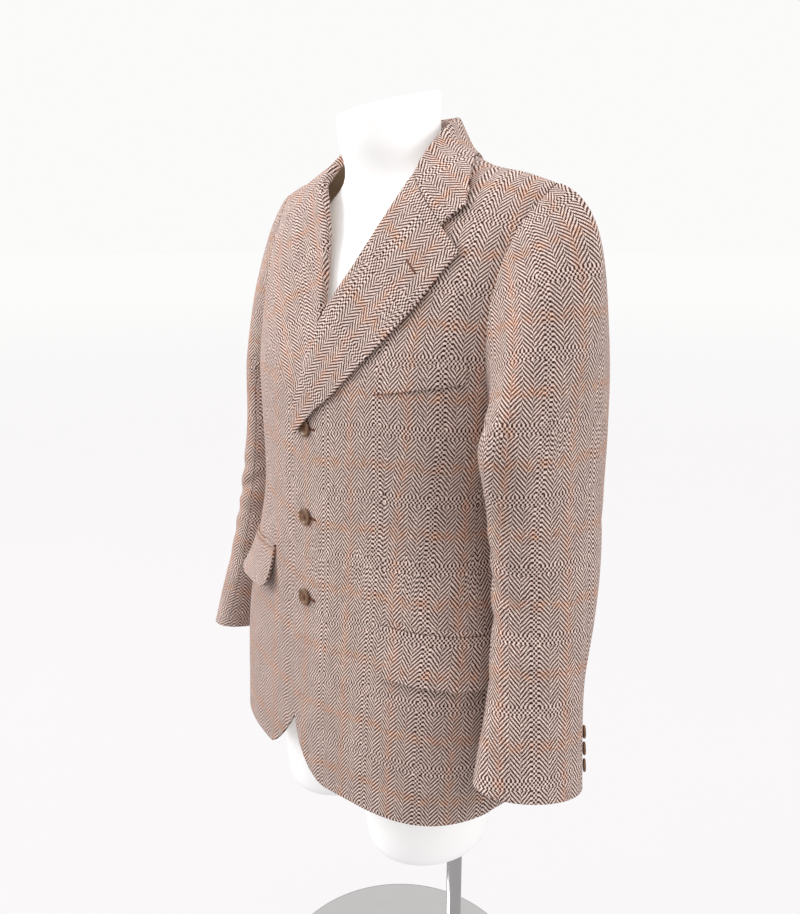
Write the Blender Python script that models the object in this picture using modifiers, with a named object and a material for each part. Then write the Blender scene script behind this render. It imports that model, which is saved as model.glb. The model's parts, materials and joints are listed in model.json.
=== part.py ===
"""A tweed hacking jacket, buttoned on a limbless dress form that stands on a round counter base.

Origin: middle of the base's underside. +X is the wearer's left, -Y the front, +Z up. Metres.
Cloth panels are sheets on one garment surface, thickened outwards by the cloth's own wall.
A panel is worked out on the left (+X) and mirrored for the right, so `across` below is the
distance to the wearer's side of the middle plane.
"""

import math

import bpy
import bmesh
import numpy as np
from mathutils import Matrix

# ---------------------------------------------------------------- driving sizes
FRONT_WALL = 0.0030
CLOTH_WALL = 0.0024
LAPEL_WALL = 0.0030
FLAP_WALL = 0.0030
SEAM_GAP = 0.0004
SLEEVE_SEAM_GAP = 0.0018
OVERLAP = 0.020  # how far each front runs past the middle plane
OVERLAP_LIFT = 0.0038  # the left front passes over the right one by this much
OVERLAP_FADE = (0.030, 0.090)  # from the middle, where that lift fades out

CHEST_Z = 0.880
RIDGE_Y = 0.005
CHEST_WIDTH = 0.201
SHOULDER_GAIN = 0.032  # how much wider the shoulder line is than the chest
TOP_POWERS = (1.8, 1.3)  # depth and height powers of the curve from chest to shoulder

BUTTON_RADIUS = 0.0100
BUTTON_DEPTH = 0.0038
CUFF_BUTTON_RADIUS = 0.0070
CUFF_BUTTON_DEPTH = 0.0030
BUTTON_HEIGHTS = (0.8365, 0.7325, 0.6345)
CUFF_BUTTON_HEIGHTS = (0.5470, 0.5310, 0.5150)
CUFF_BUTTON_SHARE = 0.805  # share round the sleeve from its outer side, over the front

# height, half width, front depth, back depth, front power, back power
BODY_SECTIONS = np.array([
    (0.400, 0.220, 0.150, 0.158, 3.2, 3.0),
    (0.540, 0.218, 0.144, 0.148, 3.2, 2.9),
    (0.640, 0.206, 0.137, 0.135, 2.9, 2.6),
    (0.750, 0.188, 0.133, 0.124, 2.5, 2.4),
    (0.840, 0.197, 0.131, 0.131, 2.5, 2.4),
    (CHEST_Z, CHEST_WIDTH, 0.130, 0.136, 2.5, 2.4),
])
# across, height of the shoulder line
SHOULDER_LINE = np.array([
    (0.000, 1.160), (0.050, 1.144), (0.085, 1.131), (0.100, 1.128),
    (0.140, 1.113), (0.190, 1.103), (0.235, 1.091),
])
# share of the way round from centre front to centre back, height of the hem there
HEM_LINE = np.array([(0.0, 0.405), (0.25, 0.414), (0.5, 0.430), (1.0, 0.436)])
# share of the rise from chest to shoulder, across of the armhole edge
ARMHOLE_FRONT = np.array([(0.0, 0.195), (0.25, 0.196), (0.5, 0.199), (0.75, 0.208), (1.0, 0.228)])
ARMHOLE_BACK = np.array([(0.0, 0.187), (0.25, 0.188), (0.5, 0.193), (0.75, 0.204), (1.0, 0.228)])
PIT_DROP = 0.022
NECK_ACROSS = 0.084  # where the neck seam meets the shoulder line
NECK_BACK_DEPTH = 0.37  # the same seam at the centre back, as a share of the back's depth

# across, height, set back from the garment surface: the line that each lapel rolls on
ROLL_LEFT = np.array([
    (-0.020, 0.838, 0.0), (-0.013, 0.855, 0.0), (-0.003, 0.885, 0.0), (0.007, 0.913, 0.0),
    (0.017, 0.941, 0.0), (0.026, 0.965, 0.0), (0.039, 0.987, 0.0), (0.0525, 1.011, 0.0),
    (0.063, 1.036, 0.0), (0.071, 1.059, 0.0), (0.077, 1.081, 0.0), (0.081, 1.100, 0.0),
])
ROLL_RIGHT = np.array([
    (-0.020, 0.838, 0.000), (-0.011, 0.868, 0.004), (-0.001, 0.902, 0.009),
    (0.010, 0.935, 0.015), (0.020, 0.965, 0.020), (0.033, 1.010, 0.021),
    (0.047, 1.050, 0.016), (0.065, 1.082, 0.007), (0.081, 1.100, 0.000),
])
LAPEL_RIGHT_START = 0.918  # where the right lapel comes out from under the left front
ROLL_GAP = 0.0026  # across, from the roll line to the edge of the front's own wall
# across, height: the lapel's free edge from the top button up to its tip
LAPEL_EDGE = np.array([
    (-0.013, 0.828), (0.022, 0.860), (0.052, 0.882), (0.092, 0.924), (0.124, 0.961),
    (0.139, 0.982), (0.153, 1.008), (0.166, 1.029),
])
NOTCH_SHARE = 0.66  # how far along the lapel's top edge the collar's end meets it
GORGE_GAP = 0.0012  # between that edge and the collar
ROLL_RADIUS = 0.0040
LAPEL_LIFT = 0.0065  # middle of the lapel's wall above the garment surface, at its free edge
SET_BACK_REACH = 0.055

# Collar, half of it, from centre back towards the gorge. Columns: foot of the stand x, y; crest
# x, y, z; middle of the fall x, y, z; free edge x, y, z. The foot's height is the neck seam's.
COLLAR_STATIONS = np.array([
    (0.0000, 0.0510, 0.000, 0.058, 1.166, 0.000, 0.074, 1.140, 0.000, 0.078, 1.112),
    (0.0270, 0.0480, 0.026, 0.053, 1.165, 0.034, 0.069, 1.140, 0.040, 0.073, 1.114),
    (0.0540, 0.0385, 0.050, 0.037, 1.162, 0.062, 0.052, 1.141, 0.075, 0.056, 1.1205),
    (0.0800, 0.0140, 0.066, 0.014, 1.152, 0.083, 0.022, 1.142, 0.100, 0.026, 1.1305),
    (0.0812, -0.0100, 0.075, -0.010, 1.136, 0.098, -0.010, 1.130, 0.126, -0.008, 1.1195),
    (0.0805, -0.0300, 0.079, -0.030, 1.118, 0.115, -0.034, 1.101, 0.146, -0.031, 1.098),
])
COLLAR_TIP = (0.157, -0.048, 1.076)
STAND_AT_GORGE = 0.002
STAND_FOOT_LIFT = 0.0015
LAPEL_END_LIFT = 0.0032  # more than that at the break, where the lapel lies over the top button
LAPEL_END_FADE = (0.846, 0.905)
COLLAR_LIFT = 0.0070  # middle of the collar's wall above the garment surface

# Sleeve rings below the armhole. Columns: centre across, y, z; half width across and along y;
# turn of the oval in degrees; how far its front stands higher than its middle.
SLEEVE_RINGS = {
    "left": np.array([
        (0.2420, -0.012, 0.840, 0.0390, 0.0800, 0.0, 0.000),
        (0.2440, -0.009, 0.770, 0.0390, 0.0700, 3.0, 0.000),
        (0.2520, -0.013, 0.690, 0.0390, 0.0620, 7.0, 0.002),
        (0.2640, -0.036, 0.590, 0.0370, 0.0520, 12.0, 0.006),
        (0.2790, -0.060, 0.493, 0.0340, 0.0600, 17.0, 0.012),
    ]),
    "right": np.array([
        (0.2350, 0.005, 0.840, 0.0315, 0.0730, 0.0, 0.000),
        (0.2380, -0.003, 0.770, 0.0340, 0.0700, 3.0, 0.000),
        (0.2490, -0.016, 0.690, 0.0360, 0.0640, 7.0, 0.002),
        (0.2640, -0.038, 0.590, 0.0360, 0.0560, 12.0, 0.005),
        (0.2790, -0.060, 0.487, 0.0340, 0.0600, 17.0, 0.008),
    ]),
}
SLEEVE_COUNT = 20
SLEEVE_SEAMS = (0.30, 0.70)  # shares round the ring from its outer side, over the front

# Flaps: front end across, its height, drop to the back end, length, depth, how far it stands off
FLAPS = {
    "left": (0.122, 0.6390, 0.007, 0.150, 0.056, 0.004),
    "right": (0.077, 0.6690, 0.010, 0.150, 0.050, 0.012),
}
JET_HEIGHT = 0.005
JET_WALL = 0.0020
WELT = (0.104, 0.911, -0.017, 0.098, 0.024)  # as a flap: across, height, drop, length, depth

# Dress form. Columns: height, half width, front depth, back depth.
FORM_SECTIONS = np.array([
    (0.372, 0.060, 0.060, 0.065), (0.385, 0.120, 0.092, 0.100), (0.420, 0.172, 0.120, 0.128),
    (0.520, 0.192, 0.128, 0.132), (0.640, 0.180, 0.118, 0.118), (0.750, 0.160, 0.108, 0.104),
    (0.860, 0.172, 0.108, 0.112), (0.940, 0.168, 0.090, 0.112), (1.000, 0.158, 0.076, 0.098),
    (1.050, 0.148, 0.056, 0.076), (1.080, 0.120, 0.048, 0.058), (1.100, 0.086, 0.050, 0.045),
    (1.118, 0.066, 0.060, 0.038), (1.140, 0.059, 0.073, 0.035), (1.165, 0.057, 0.077, 0.034),
    (1.192, 0.0565, 0.078, 0.034),
])
NECK_TOP_SLANT = 0.28
STUB_X = 0.088
STUB_Y = -0.026
STUB_RADII = (0.071, 0.082)
STUB_FLARE = 1.10  # radius at the stub's hidden head over that at its foot
STUB_FOOT_Z = 0.314
STUB_HEAD_Z = 0.470
POLE_XY = (0.085, 0.023)
POLE_RADIUS = 0.010
BASE_RADIUS = 0.180
BASE_HEIGHT = 0.008
FIT_GAP = 0.0003
KNOB_RADIUS = 0.0075
KNOB_REACH = 0.024  # from the pole's axis to the knob's outer face
KNOB_TURN = 62.0  # degrees about the pole from straight ahead towards the wearer's left
KNOB_DROP = 0.012

# ---------------------------------------------------------------- scene and materials
for old in list(bpy.data.objects):
    bpy.data.objects.remove(old, do_unlink=True)

JACKET = bpy.data.collections.new("hacking_jacket")
bpy.context.scene.collection.children.link(JACKET)


def material(name, colour, roughness, metallic=0.0):
    made = bpy.data.materials.new(name)
    made.use_nodes = True
    shader = made.node_tree.nodes["Principled BSDF"]
    shader.inputs["Base Color"].default_value = (*colour, 1.0)
    shader.inputs["Roughness"].default_value = roughness
    shader.inputs["Metallic"].default_value = metallic
    return made


TWEED = ("tweed", (0.36, 0.26, 0.22), 0.95, 0.0)
HORN = ("horn", (0.12, 0.07, 0.04), 0.35, 0.0)
WHITE = ("form_white", (0.85, 0.85, 0.85), 0.25, 0.0)
CHROME = ("chrome", (0.75, 0.75, 0.76), 0.15, 1.0)


def add_object(name, mesh, finish):
    """Puts a mesh in the jacket's collection under its name, with a material of its own."""
    mesh.name = name
    made = bpy.data.objects.new(name, mesh)
    JACKET.objects.link(made)
    mesh.materials.clear()
    mesh.materials.append(material(f"{finish[0]}_{name}", finish[1], finish[2], finish[3]))
    mesh.shade_smooth()
    mesh.set_sharp_from_angle(angle=math.radians(50))
    return made


def grid_mesh(points, flip=False, closed=False):
    """A sheet through rows of points; `closed` joins each row's last point to its first."""
    rows, columns = points.shape[:2]
    mesh = bmesh.new()
    verts = [[mesh.verts.new(p) for p in row] for row in points]
    for i in range(rows - 1):
        for j in range(columns if closed else columns - 1):
            k = (j + 1) % columns
            corners = [verts[i][j], verts[i][k], verts[i + 1][k], verts[i + 1][j]]
            mesh.faces.new(corners[::-1] if flip else corners)
    made = bpy.data.meshes.new("sheet")
    mesh.to_mesh(made)
    mesh.free()
    return made


def cloth(name, points, wall, side=1, offset=1.0):
    """A cloth piece: a sheet worked out on the left, mirrored for side -1, given its wall."""
    placed = points * np.array([side, 1.0, 1.0])
    made = add_object(name, grid_mesh(placed, flip=side < 0), TWEED)
    solid = made.modifiers.new("wall", "SOLIDIFY")
    solid.thickness = wall
    solid.offset = offset
    solid.use_even_offset = True
    return made


# ---------------------------------------------------------------- the garment surface
def through(table, at, column):
    """Smooth monotone interpolation of one column of a table over its first column."""
    xs, ys = table[:, 0], table[:, column]
    at = np.asarray(at, float)
    step, slope = np.diff(xs), np.diff(ys) / np.diff(xs)
    tangent = np.concatenate([slope[:1], (slope[:-1] + slope[1:]) / 2, slope[-1:]])
    tangent[1:-1][slope[:-1] * slope[1:] <= 0] = 0.0
    k = np.clip(np.searchsorted(xs, at, side="right") - 1, 0, len(xs) - 2)
    t = np.clip((at - xs[k]) / step[k], 0, 1)
    return (
        ys[k] * (1 + 2 * t) * (1 - t) ** 2
        + tangent[k] * step[k] * t * (1 - t) ** 2
        + ys[k + 1] * t * t * (3 - 2 * t)
        + tangent[k + 1] * step[k] * t * t * (t - 1)
    )


def oval_depth(share, power):
    return (1 - np.clip(np.abs(share), 0, 1) ** power) ** (1 / power)


def half_ring(z, count=160):
    """The left half ring at a height below the chest: distances from centre front, x and y."""
    width, front, back, front_power, back_power = [through(BODY_SECTIONS, z, i) for i in range(1, 6)]
    angle = np.linspace(0, math.pi, count)
    is_front = angle < math.pi / 2
    depth = np.where(is_front, front, back)
    power = np.where(is_front, front_power, back_power)
    sine, cosine = np.sin(angle), np.abs(np.cos(angle))
    radius = ((cosine / depth) ** power + (sine / width) ** power) ** (-1 / power)
    x, y = radius * sine, -radius * np.cos(angle)
    along = np.concatenate([[0], np.cumsum(np.hypot(np.diff(x), np.diff(y)))])
    return along, x, y


def ring_length(z):
    return half_ring(z)[0][-1]


def low_points(z, along):
    """Points at height z below the chest, at distances from the centre front."""
    path, xs, ys = half_ring(z)
    along = np.asarray(along, float)
    reach = np.abs(along)
    x = np.interp(reach, path, xs) * np.sign(along + 1e-12)
    y = np.interp(reach, path, ys)
    return np.stack([x, y, np.full_like(x, z)], -1)


def top_points(x, depth):
    """Points above the chest. depth runs from -1 at the front of the chest, over 0 on the
    shoulder line, to 1 at the back of the chest."""
    x, depth = np.broadcast_arrays(np.asarray(x, float), np.asarray(depth, float))
    rise = (1 - np.abs(depth) ** TOP_POWERS[0]) ** (1 / TOP_POWERS[1])
    ridge = through(SHOULDER_LINE, np.abs(x), 1)
    share = x / (CHEST_WIDTH + SHOULDER_GAIN * rise)
    chest = BODY_SECTIONS[-1]
    front = -chest[2] * oval_depth(share, chest[4])
    back = chest[3] * oval_depth(share, chest[5])
    reach = np.where(depth < 0, front, back) - RIDGE_Y
    return np.stack([x, RIDGE_Y + np.abs(depth) * reach, CHEST_Z + rise * (ridge - CHEST_Z)], -1)


def depth_at(x, z):
    """The depth share (0 to 1) at which the upper surface reaches height z."""
    rise = (z - CHEST_Z) / (through(SHOULDER_LINE, np.abs(x), 1) - CHEST_Z)
    return (1 - np.clip(rise, 0, 1) ** TOP_POWERS[1]) ** (1 / TOP_POWERS[0])


def front_point(x, z):
    """The garment surface's front at one place across and up."""
    if z > CHEST_Z:
        return top_points(x, -max(float(depth_at(x, z)), 1e-6))
    path, xs, ys = half_ring(z)
    half = len(xs) // 2
    return np.array([x, np.interp(abs(x), xs[:half], ys[:half]), z])


def front_normal(x, z, step=0.002):
    up = front_point(x, z + step) - front_point(x, z - step)
    out = front_point(x + step, z) - front_point(x - step, z)
    normal = np.cross(out, up)
    return normal / np.linalg.norm(normal)


def unit(vectors):
    return vectors / np.linalg.norm(vectors, axis=-1, keepdims=True)


def smooth_step(value, low, high):
    t = np.clip((value - low) / (high - low), 0, 1)
    return t * t * (3 - 2 * t)


def shape_front(points, side_name):
    """Moves points of a front off the plain surface: the left front's lift over the right one,
    and the right front's set back along its roll line."""
    moved = points.copy()
    x, z = points[..., 0], points[..., 2]
    if side_name == "left":
        moved[..., 1] -= OVERLAP_LIFT * (1 - smooth_step(x, *OVERLAP_FADE))
    roll = ROLL_RIGHT if side_name == "right" else ROLL_LEFT
    by_height = roll[:, [1, 0, 2]]
    off = (x - through(by_height, z, 1)) / SET_BACK_REACH
    moved[..., 1] += through(by_height, z, 2) * np.exp(-off * off) * (z > roll[0, 1])
    return moved


def place_on_front(side_name, x, z, lift):
    """A point on a front, at a lift along the surface's normal."""
    raised = front_point(x, z) + front_normal(x, z) * lift
    return shape_front(raised, side_name)


# ---------------------------------------------------------------- body panels
LOW_ROWS = 10
TOP_ROWS = 8
FRONT_COLUMNS = 11
SIDE_COLUMNS = 5
BACK_COLUMNS = 8
ROW_POWER = 0.9  # spreads the rows between chest and shoulder line


def seam_share(across, is_back):
    """How far round the half ring a seam lies, from its place across at the chest."""
    path, xs, _ = half_ring(CHEST_Z)
    half = len(xs) // 2
    if is_back:
        return np.interp(across, xs[half:][::-1], path[half:][::-1]) / path[-1]
    return np.interp(across, xs[:half], path[:half]) / path[-1]


FRONT_SEAM = seam_share(ARMHOLE_FRONT[0, 1], False)
BACK_SEAM = seam_share(ARMHOLE_BACK[0, 1], True)


def hem_lift(share, z):
    """How far the hem's rise lifts a point, fading out well above the hem."""
    lowest = HEM_LINE[0, 1]
    return (through(HEM_LINE, np.abs(share), 1) - lowest) * (1 - smooth_step(z, lowest, 0.56))


# start height of the curved front corner, its width, its roundness power
CORNERS = {"left": (0.502, 0.066, 2.0), "right": (0.565, 0.098, 1.25)}


def front_edge(side_name, z):
    """Across of a front's inner edge below the chest: hem corner, straight edge, roll line."""
    start, width, power = CORNERS[side_name]
    if z < start:
        drop = min((start - z) / (start - HEM_LINE[0, 1]), 1.0)
        return -OVERLAP + width * (1 - (1 - drop**power) ** (1 / power))
    roll = ROLL_RIGHT if side_name == "right" else ROLL_LEFT
    if z > roll[0, 1]:
        return float(through(roll[:, [1, 0]], z, 1)) + ROLL_GAP
    return -OVERLAP


def low_heights(count):
    """Heights from hem to chest, closer together near the hem's rounded corner."""
    share = np.linspace(0, 1, count)
    return HEM_LINE[0, 1] + (CHEST_Z - HEM_LINE[0, 1]) * (0.25 * share**2 + 0.75 * share**1.25)


def front_panel(side_name):
    rows = []
    share = np.linspace(0, 1, FRONT_COLUMNS + 1)
    for z in low_heights(LOW_ROWS + 1):
        length = ring_length(z)
        inner = front_edge(side_name, z)
        along = inner + (FRONT_SEAM * length - SEAM_GAP / 2 - inner) * share
        row = low_points(z, along)
        row[:, 2] += hem_lift(along / length, z)
        rows.append(row)
    chest_x = rows[-1][:, 0]
    column = (chest_x - chest_x[0]) / (chest_x[-1] - chest_x[0])
    roll = ROLL_RIGHT if side_name == "right" else ROLL_LEFT
    roll_depth = depth_at(roll[:, 0], roll[:, 1])
    above = roll[:, 1] > CHEST_Z + 0.005
    depths = np.concatenate([[0.0], roll_depth[above][::-1], [1.0]])
    inner_x = np.concatenate([[NECK_ACROSS], roll[above, 0][::-1] + ROLL_GAP, [chest_x[0]]])
    inner_table = np.stack([depths, inner_x], -1)
    steps = np.linspace(0, 1, TOP_ROWS + 1)[1:]
    gorge = math.acos(float(roll_depth[-1]) ** (1 / ROW_POWER)) / (math.pi / 2)
    steps[np.argmin(np.abs(steps - gorge))] = gorge  # so that one row meets the gorge
    for t in steps:
        depth = math.cos(t * math.pi / 2) ** ROW_POWER
        rise = (1 - depth ** TOP_POWERS[0]) ** (1 / TOP_POWERS[1])
        outer = float(through(ARMHOLE_FRONT, rise, 1)) - SEAM_GAP / 2
        inner = float(np.interp(depth, inner_table[:, 0], inner_table[:, 1]))
        row = top_points(inner + (outer - inner) * column, -depth)
        if t == 1:
            row[:, 1] -= SEAM_GAP / 2
        rows.append(row)
    return shape_front(np.array(rows), side_name)


def side_panel():
    columns = []
    shares = np.linspace(0, 1, SIDE_COLUMNS + 1)
    for share in shares:
        top = CHEST_Z - PIT_DROP * math.sin(math.pi * share)
        column = []
        for z in low_heights(LOW_ROWS + 1):
            z = HEM_LINE[0, 1] + (z - HEM_LINE[0, 1]) * (top - HEM_LINE[0, 1]) / (CHEST_Z - HEM_LINE[0, 1])
            length = ring_length(z)
            start, end = FRONT_SEAM * length + SEAM_GAP / 2, BACK_SEAM * length - SEAM_GAP / 2
            along = start + (end - start) * share
            point = low_points(z, along)
            point[2] += hem_lift(along / length, z)
            column.append(point)
        columns.append(column)
    return np.array(columns).transpose(1, 0, 2)


def back_panel():
    rows = []
    share = np.linspace(0, 1, BACK_COLUMNS + 1)
    for z in low_heights(LOW_ROWS + 1):
        length = ring_length(z)
        start, end = BACK_SEAM * length + SEAM_GAP / 2, length - SEAM_GAP / 2
        along = start + (end - start) * share
        row = low_points(z, along)
        row[:, 2] += hem_lift(along / length, z)
        rows.append(row)
    column = rows[-1][:, 0] / rows[-1][0, 0]
    neck_share = NECK_ACROSS / ARMHOLE_BACK[-1, 1]
    neck = NECK_BACK_DEPTH * np.sqrt(np.clip(1 - (column / neck_share) ** 2, 0, 1))
    for t in np.linspace(0, 1, TOP_ROWS + 1)[1:]:
        curve = math.cos(t * math.pi / 2) ** ROW_POWER
        depth = neck + (1 - neck) * curve
        rise = (1 - depth ** TOP_POWERS[0]) ** (1 / TOP_POWERS[1])
        outer = through(ARMHOLE_BACK, rise, 1) - SEAM_GAP / 2
        x = np.maximum(column * outer, SEAM_GAP / 2)
        row = top_points(x, depth)
        if t == 1:
            row[:, 1] += SEAM_GAP / 2
        rows.append(row)
    return np.array(rows)


def build_body():
    for side_name, side in (("left", 1), ("right", -1)):
        cloth(f"front_{side_name}", front_panel(side_name), FRONT_WALL, side)
        cloth(f"side_{side_name}", side_panel(), CLOTH_WALL, side)
        cloth(f"back_{side_name}", back_panel(), CLOTH_WALL, side)


# ---------------------------------------------------------------- sleeves
def armhole_loop(count):
    """The armhole's edge as a ring of points: outer top, down the front, pit, up the back."""
    quarter = count // 4
    points = []
    for t in np.linspace(0, 1, quarter + 1)[:-1]:
        depth = math.sin(t * math.pi / 2) ** ROW_POWER
        rise = (1 - depth ** TOP_POWERS[0]) ** (1 / TOP_POWERS[1])
        points.append(top_points(through(ARMHOLE_FRONT, rise, 1), -depth))
    for t in np.linspace(0, 1, 2 * quarter + 1)[:-1]:
        z = CHEST_Z - PIT_DROP * math.sin(math.pi * t)
        share = FRONT_SEAM + (BACK_SEAM - FRONT_SEAM) * t
        points.append(low_points(z, share * ring_length(z)))
    for t in np.linspace(0, 1, quarter + 1)[:-1]:
        depth = max(math.cos(t * math.pi / 2) ** ROW_POWER, 1e-6)
        rise = (1 - depth ** TOP_POWERS[0]) ** (1 / TOP_POWERS[1])
        points.append(top_points(through(ARMHOLE_BACK, rise, 1), depth))
    return np.array(points)


def sleeve_ring(row, count):
    """One ring of the sleeve, in the same order round as the armhole's loop."""
    cx, cy, cz, half_x, half_y, turn, front_rise = row
    angle = 2 * math.pi * np.arange(count) / count
    x, y = half_x * np.cos(angle), -half_y * np.sin(angle)
    c, s = math.cos(math.radians(turn)), math.sin(math.radians(turn))
    return np.stack([cx + x * c + y * s, cy + y * c - x * s, cz + front_rise * np.sin(angle)], -1)


CAP_ROWS = 6
ARM_ROWS = 7
CAP_OUT = 0.0040
CAP_REACH = {"left": 0.135, "right": 0.065}  # how far the cap sets out at its top
CAP_SIDE_REACH = 0.048
CAP_PIT_REACH = 0.020
CAP_SWELL = (0.027, 0.020)  # how far it sets out forwards at its front and backwards at its back


def sleeve_points(side_name, count):
    """Rows of rings from the armhole down to the cuff."""
    rings = SLEEVE_RINGS[side_name]
    root = armhole_loop(count)
    root[:, 0] += CAP_OUT
    turn = 2 * math.pi * np.arange(count) / count
    bicep = sleeve_ring(rings[0], count)
    top = np.clip(np.cos(turn), 0, 1)
    pit = np.clip(-np.cos(turn), 0, 1)
    reach = CAP_REACH[side_name] * top + CAP_PIT_REACH * pit + CAP_SIDE_REACH * (1 - top - pit)
    swell = -np.sin(turn) * np.where(np.sin(turn) > 0, *CAP_SWELL)
    leave = np.stack([reach, swell, -0.25 * reach * top], -1)
    fall = np.linalg.norm(bicep - root, axis=1)
    arrive = np.stack([np.zeros(count), np.zeros(count), -fall], -1)
    rows = []
    for t in np.linspace(0, 1, CAP_ROWS + 1):
        rows.append(
            root * (1 + 2 * t) * (1 - t) ** 2
            + leave * 2 * t * (1 - t) ** 2
            + bicep * t * t * (3 - 2 * t)
            + arrive * t * t * (t - 1)
        )
    table = np.column_stack([-rings[:, 2], rings])
    for z in np.linspace(rings[0, 2], rings[-1, 2], ARM_ROWS + 1)[1:]:
        row = [float(through(table, -z, i)) for i in range(1, table.shape[1])]
        rows.append(sleeve_ring(row, count))
    return np.array(rows)


def build_sleeves():
    first, last = [round(share * SLEEVE_COUNT) for share in SLEEVE_SEAMS]
    top = np.concatenate([np.arange(last, SLEEVE_COUNT), np.arange(0, first + 1)])
    under = np.arange(first, last + 1)
    for side_name, side in (("left", 1), ("right", -1)):
        rows = sleeve_points(side_name, SLEEVE_COUNT)
        for half, columns in (("top", top), ("under", under)):
            piece = rows[:, columns].copy()
            for end, inward in ((0, 1), (-1, -1)):
                edge = piece[:, end + inward] - piece[:, end]
                size = np.linalg.norm(edge, axis=-1, keepdims=True)
                piece[:, end] += edge / size * SLEEVE_SEAM_GAP / 2
            cloth(f"sleeve_{side_name}_{half}", piece, CLOTH_WALL, side)


# ---------------------------------------------------------------- lapels and collar
def even_along(table, count):
    """Points at even distances along a line given by a short table."""
    steps = np.linalg.norm(np.diff(table, axis=0), axis=1)
    along = np.concatenate([[0], np.cumsum(steps)])
    at = np.linspace(0, along[-1], count)
    return np.stack([np.interp(at, along, table[:, i]) for i in range(table.shape[1])], -1)


LAPEL_ROWS = 12
FOLD_STEPS = 5
LAPEL_COLUMNS = 6


def lapel_row(side_name, roll_point, edge_point, shares, shift=0.0):
    """One row across a lapel: round the roll, then out to the given shares of the way to its
    free edge. shift moves the whole row along the surface, away from the break."""
    (fx, fz), (ex, ez) = roll_point, edge_point
    fold = front_point(fx, fz)
    normal = front_normal(fx, fz)
    run = front_point(fx + (ex - fx) * 0.1, fz + (ez - fz) * 0.1) - fold
    run = unit(run - normal * run.dot(normal))
    middle = fold + normal * (FRONT_WALL / 2 + ROLL_RADIUS)
    row = []
    for angle in np.linspace(-math.pi / 2, math.pi / 2, FOLD_STEPS + 1):
        turn = normal * math.sin(angle) - run * math.cos(angle)
        row.append(middle + turn * ROLL_RADIUS)
    top_lift = FRONT_WALL / 2 + 2 * ROLL_RADIUS
    for share in shares:
        x, z = fx + (ex - fx) * share, fz + (ez - fz) * share
        edge_lift = LAPEL_LIFT + LAPEL_END_LIFT * (1 - smooth_step(fz, *LAPEL_END_FADE))
        lift = top_lift + (edge_lift - top_lift) * smooth_step(share, 0.0, 1.0)
        row.append(front_point(x, z) + front_normal(x, z) * lift)
    row = np.array(row) + np.cross(run, normal) * -shift
    return shape_front(row, side_name)


def lapel_lines(side_name, count):
    """The roll line and the free edge of a lapel as evenly spaced points, break to gorge."""
    if side_name == "left":
        return even_along(ROLL_LEFT[:, :2], count), even_along(LAPEL_EDGE, count)
    start = LAPEL_RIGHT_START
    over = ROLL_RIGHT[ROLL_RIGHT[:, 1] > start, :2]
    first = (float(through(ROLL_RIGHT[:, [1, 0]], start, 1)), start)
    return even_along(np.vstack([first, over]), count), even_along(LAPEL_EDGE[1:], count)


def lapel_points(side_name):
    """Rows from the break up to the gorge; each runs round the roll and out to the free edge."""
    shares = np.linspace(0, 1, LAPEL_COLUMNS + 1)[1:]
    roll, edge = lapel_lines(side_name, LAPEL_ROWS)
    return np.array([lapel_row(side_name, *ends, shares) for ends in zip(roll, edge)])


COLLAR_ROWS = 9
STAND_STEPS = 2
FALL_STEPS = 3


def top_height(x, y):
    """Height of the garment surface above the chest at one place in plan."""
    chest = BODY_SECTIONS[-1]
    side = np.where(y < RIDGE_Y, -chest[2], chest[3])
    power = np.where(y < RIDGE_Y, chest[4], chest[5])
    reach = side * oval_depth(x / (CHEST_WIDTH + SHOULDER_GAIN), power) - RIDGE_Y
    return top_points(x, np.clip((y - RIDGE_Y) / np.abs(reach), -0.95, 0.95))[..., 2]


def rest_on_shoulders(points, lift, step=0.001):
    """Raises points that would sink below a lift over the upper garment surface."""
    x, y = points[..., 0], points[..., 1]
    slope_x = (top_height(x + step, y) - top_height(x - step, y)) / (2 * step)
    slope_y = (top_height(x, y + step) - top_height(x, y - step)) / (2 * step)
    least = top_height(x, y) + lift * np.sqrt(1 + slope_x**2 + slope_y**2)
    raised = points.copy()
    raised[..., 2] = np.maximum(raised[..., 2], least)
    return raised


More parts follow.
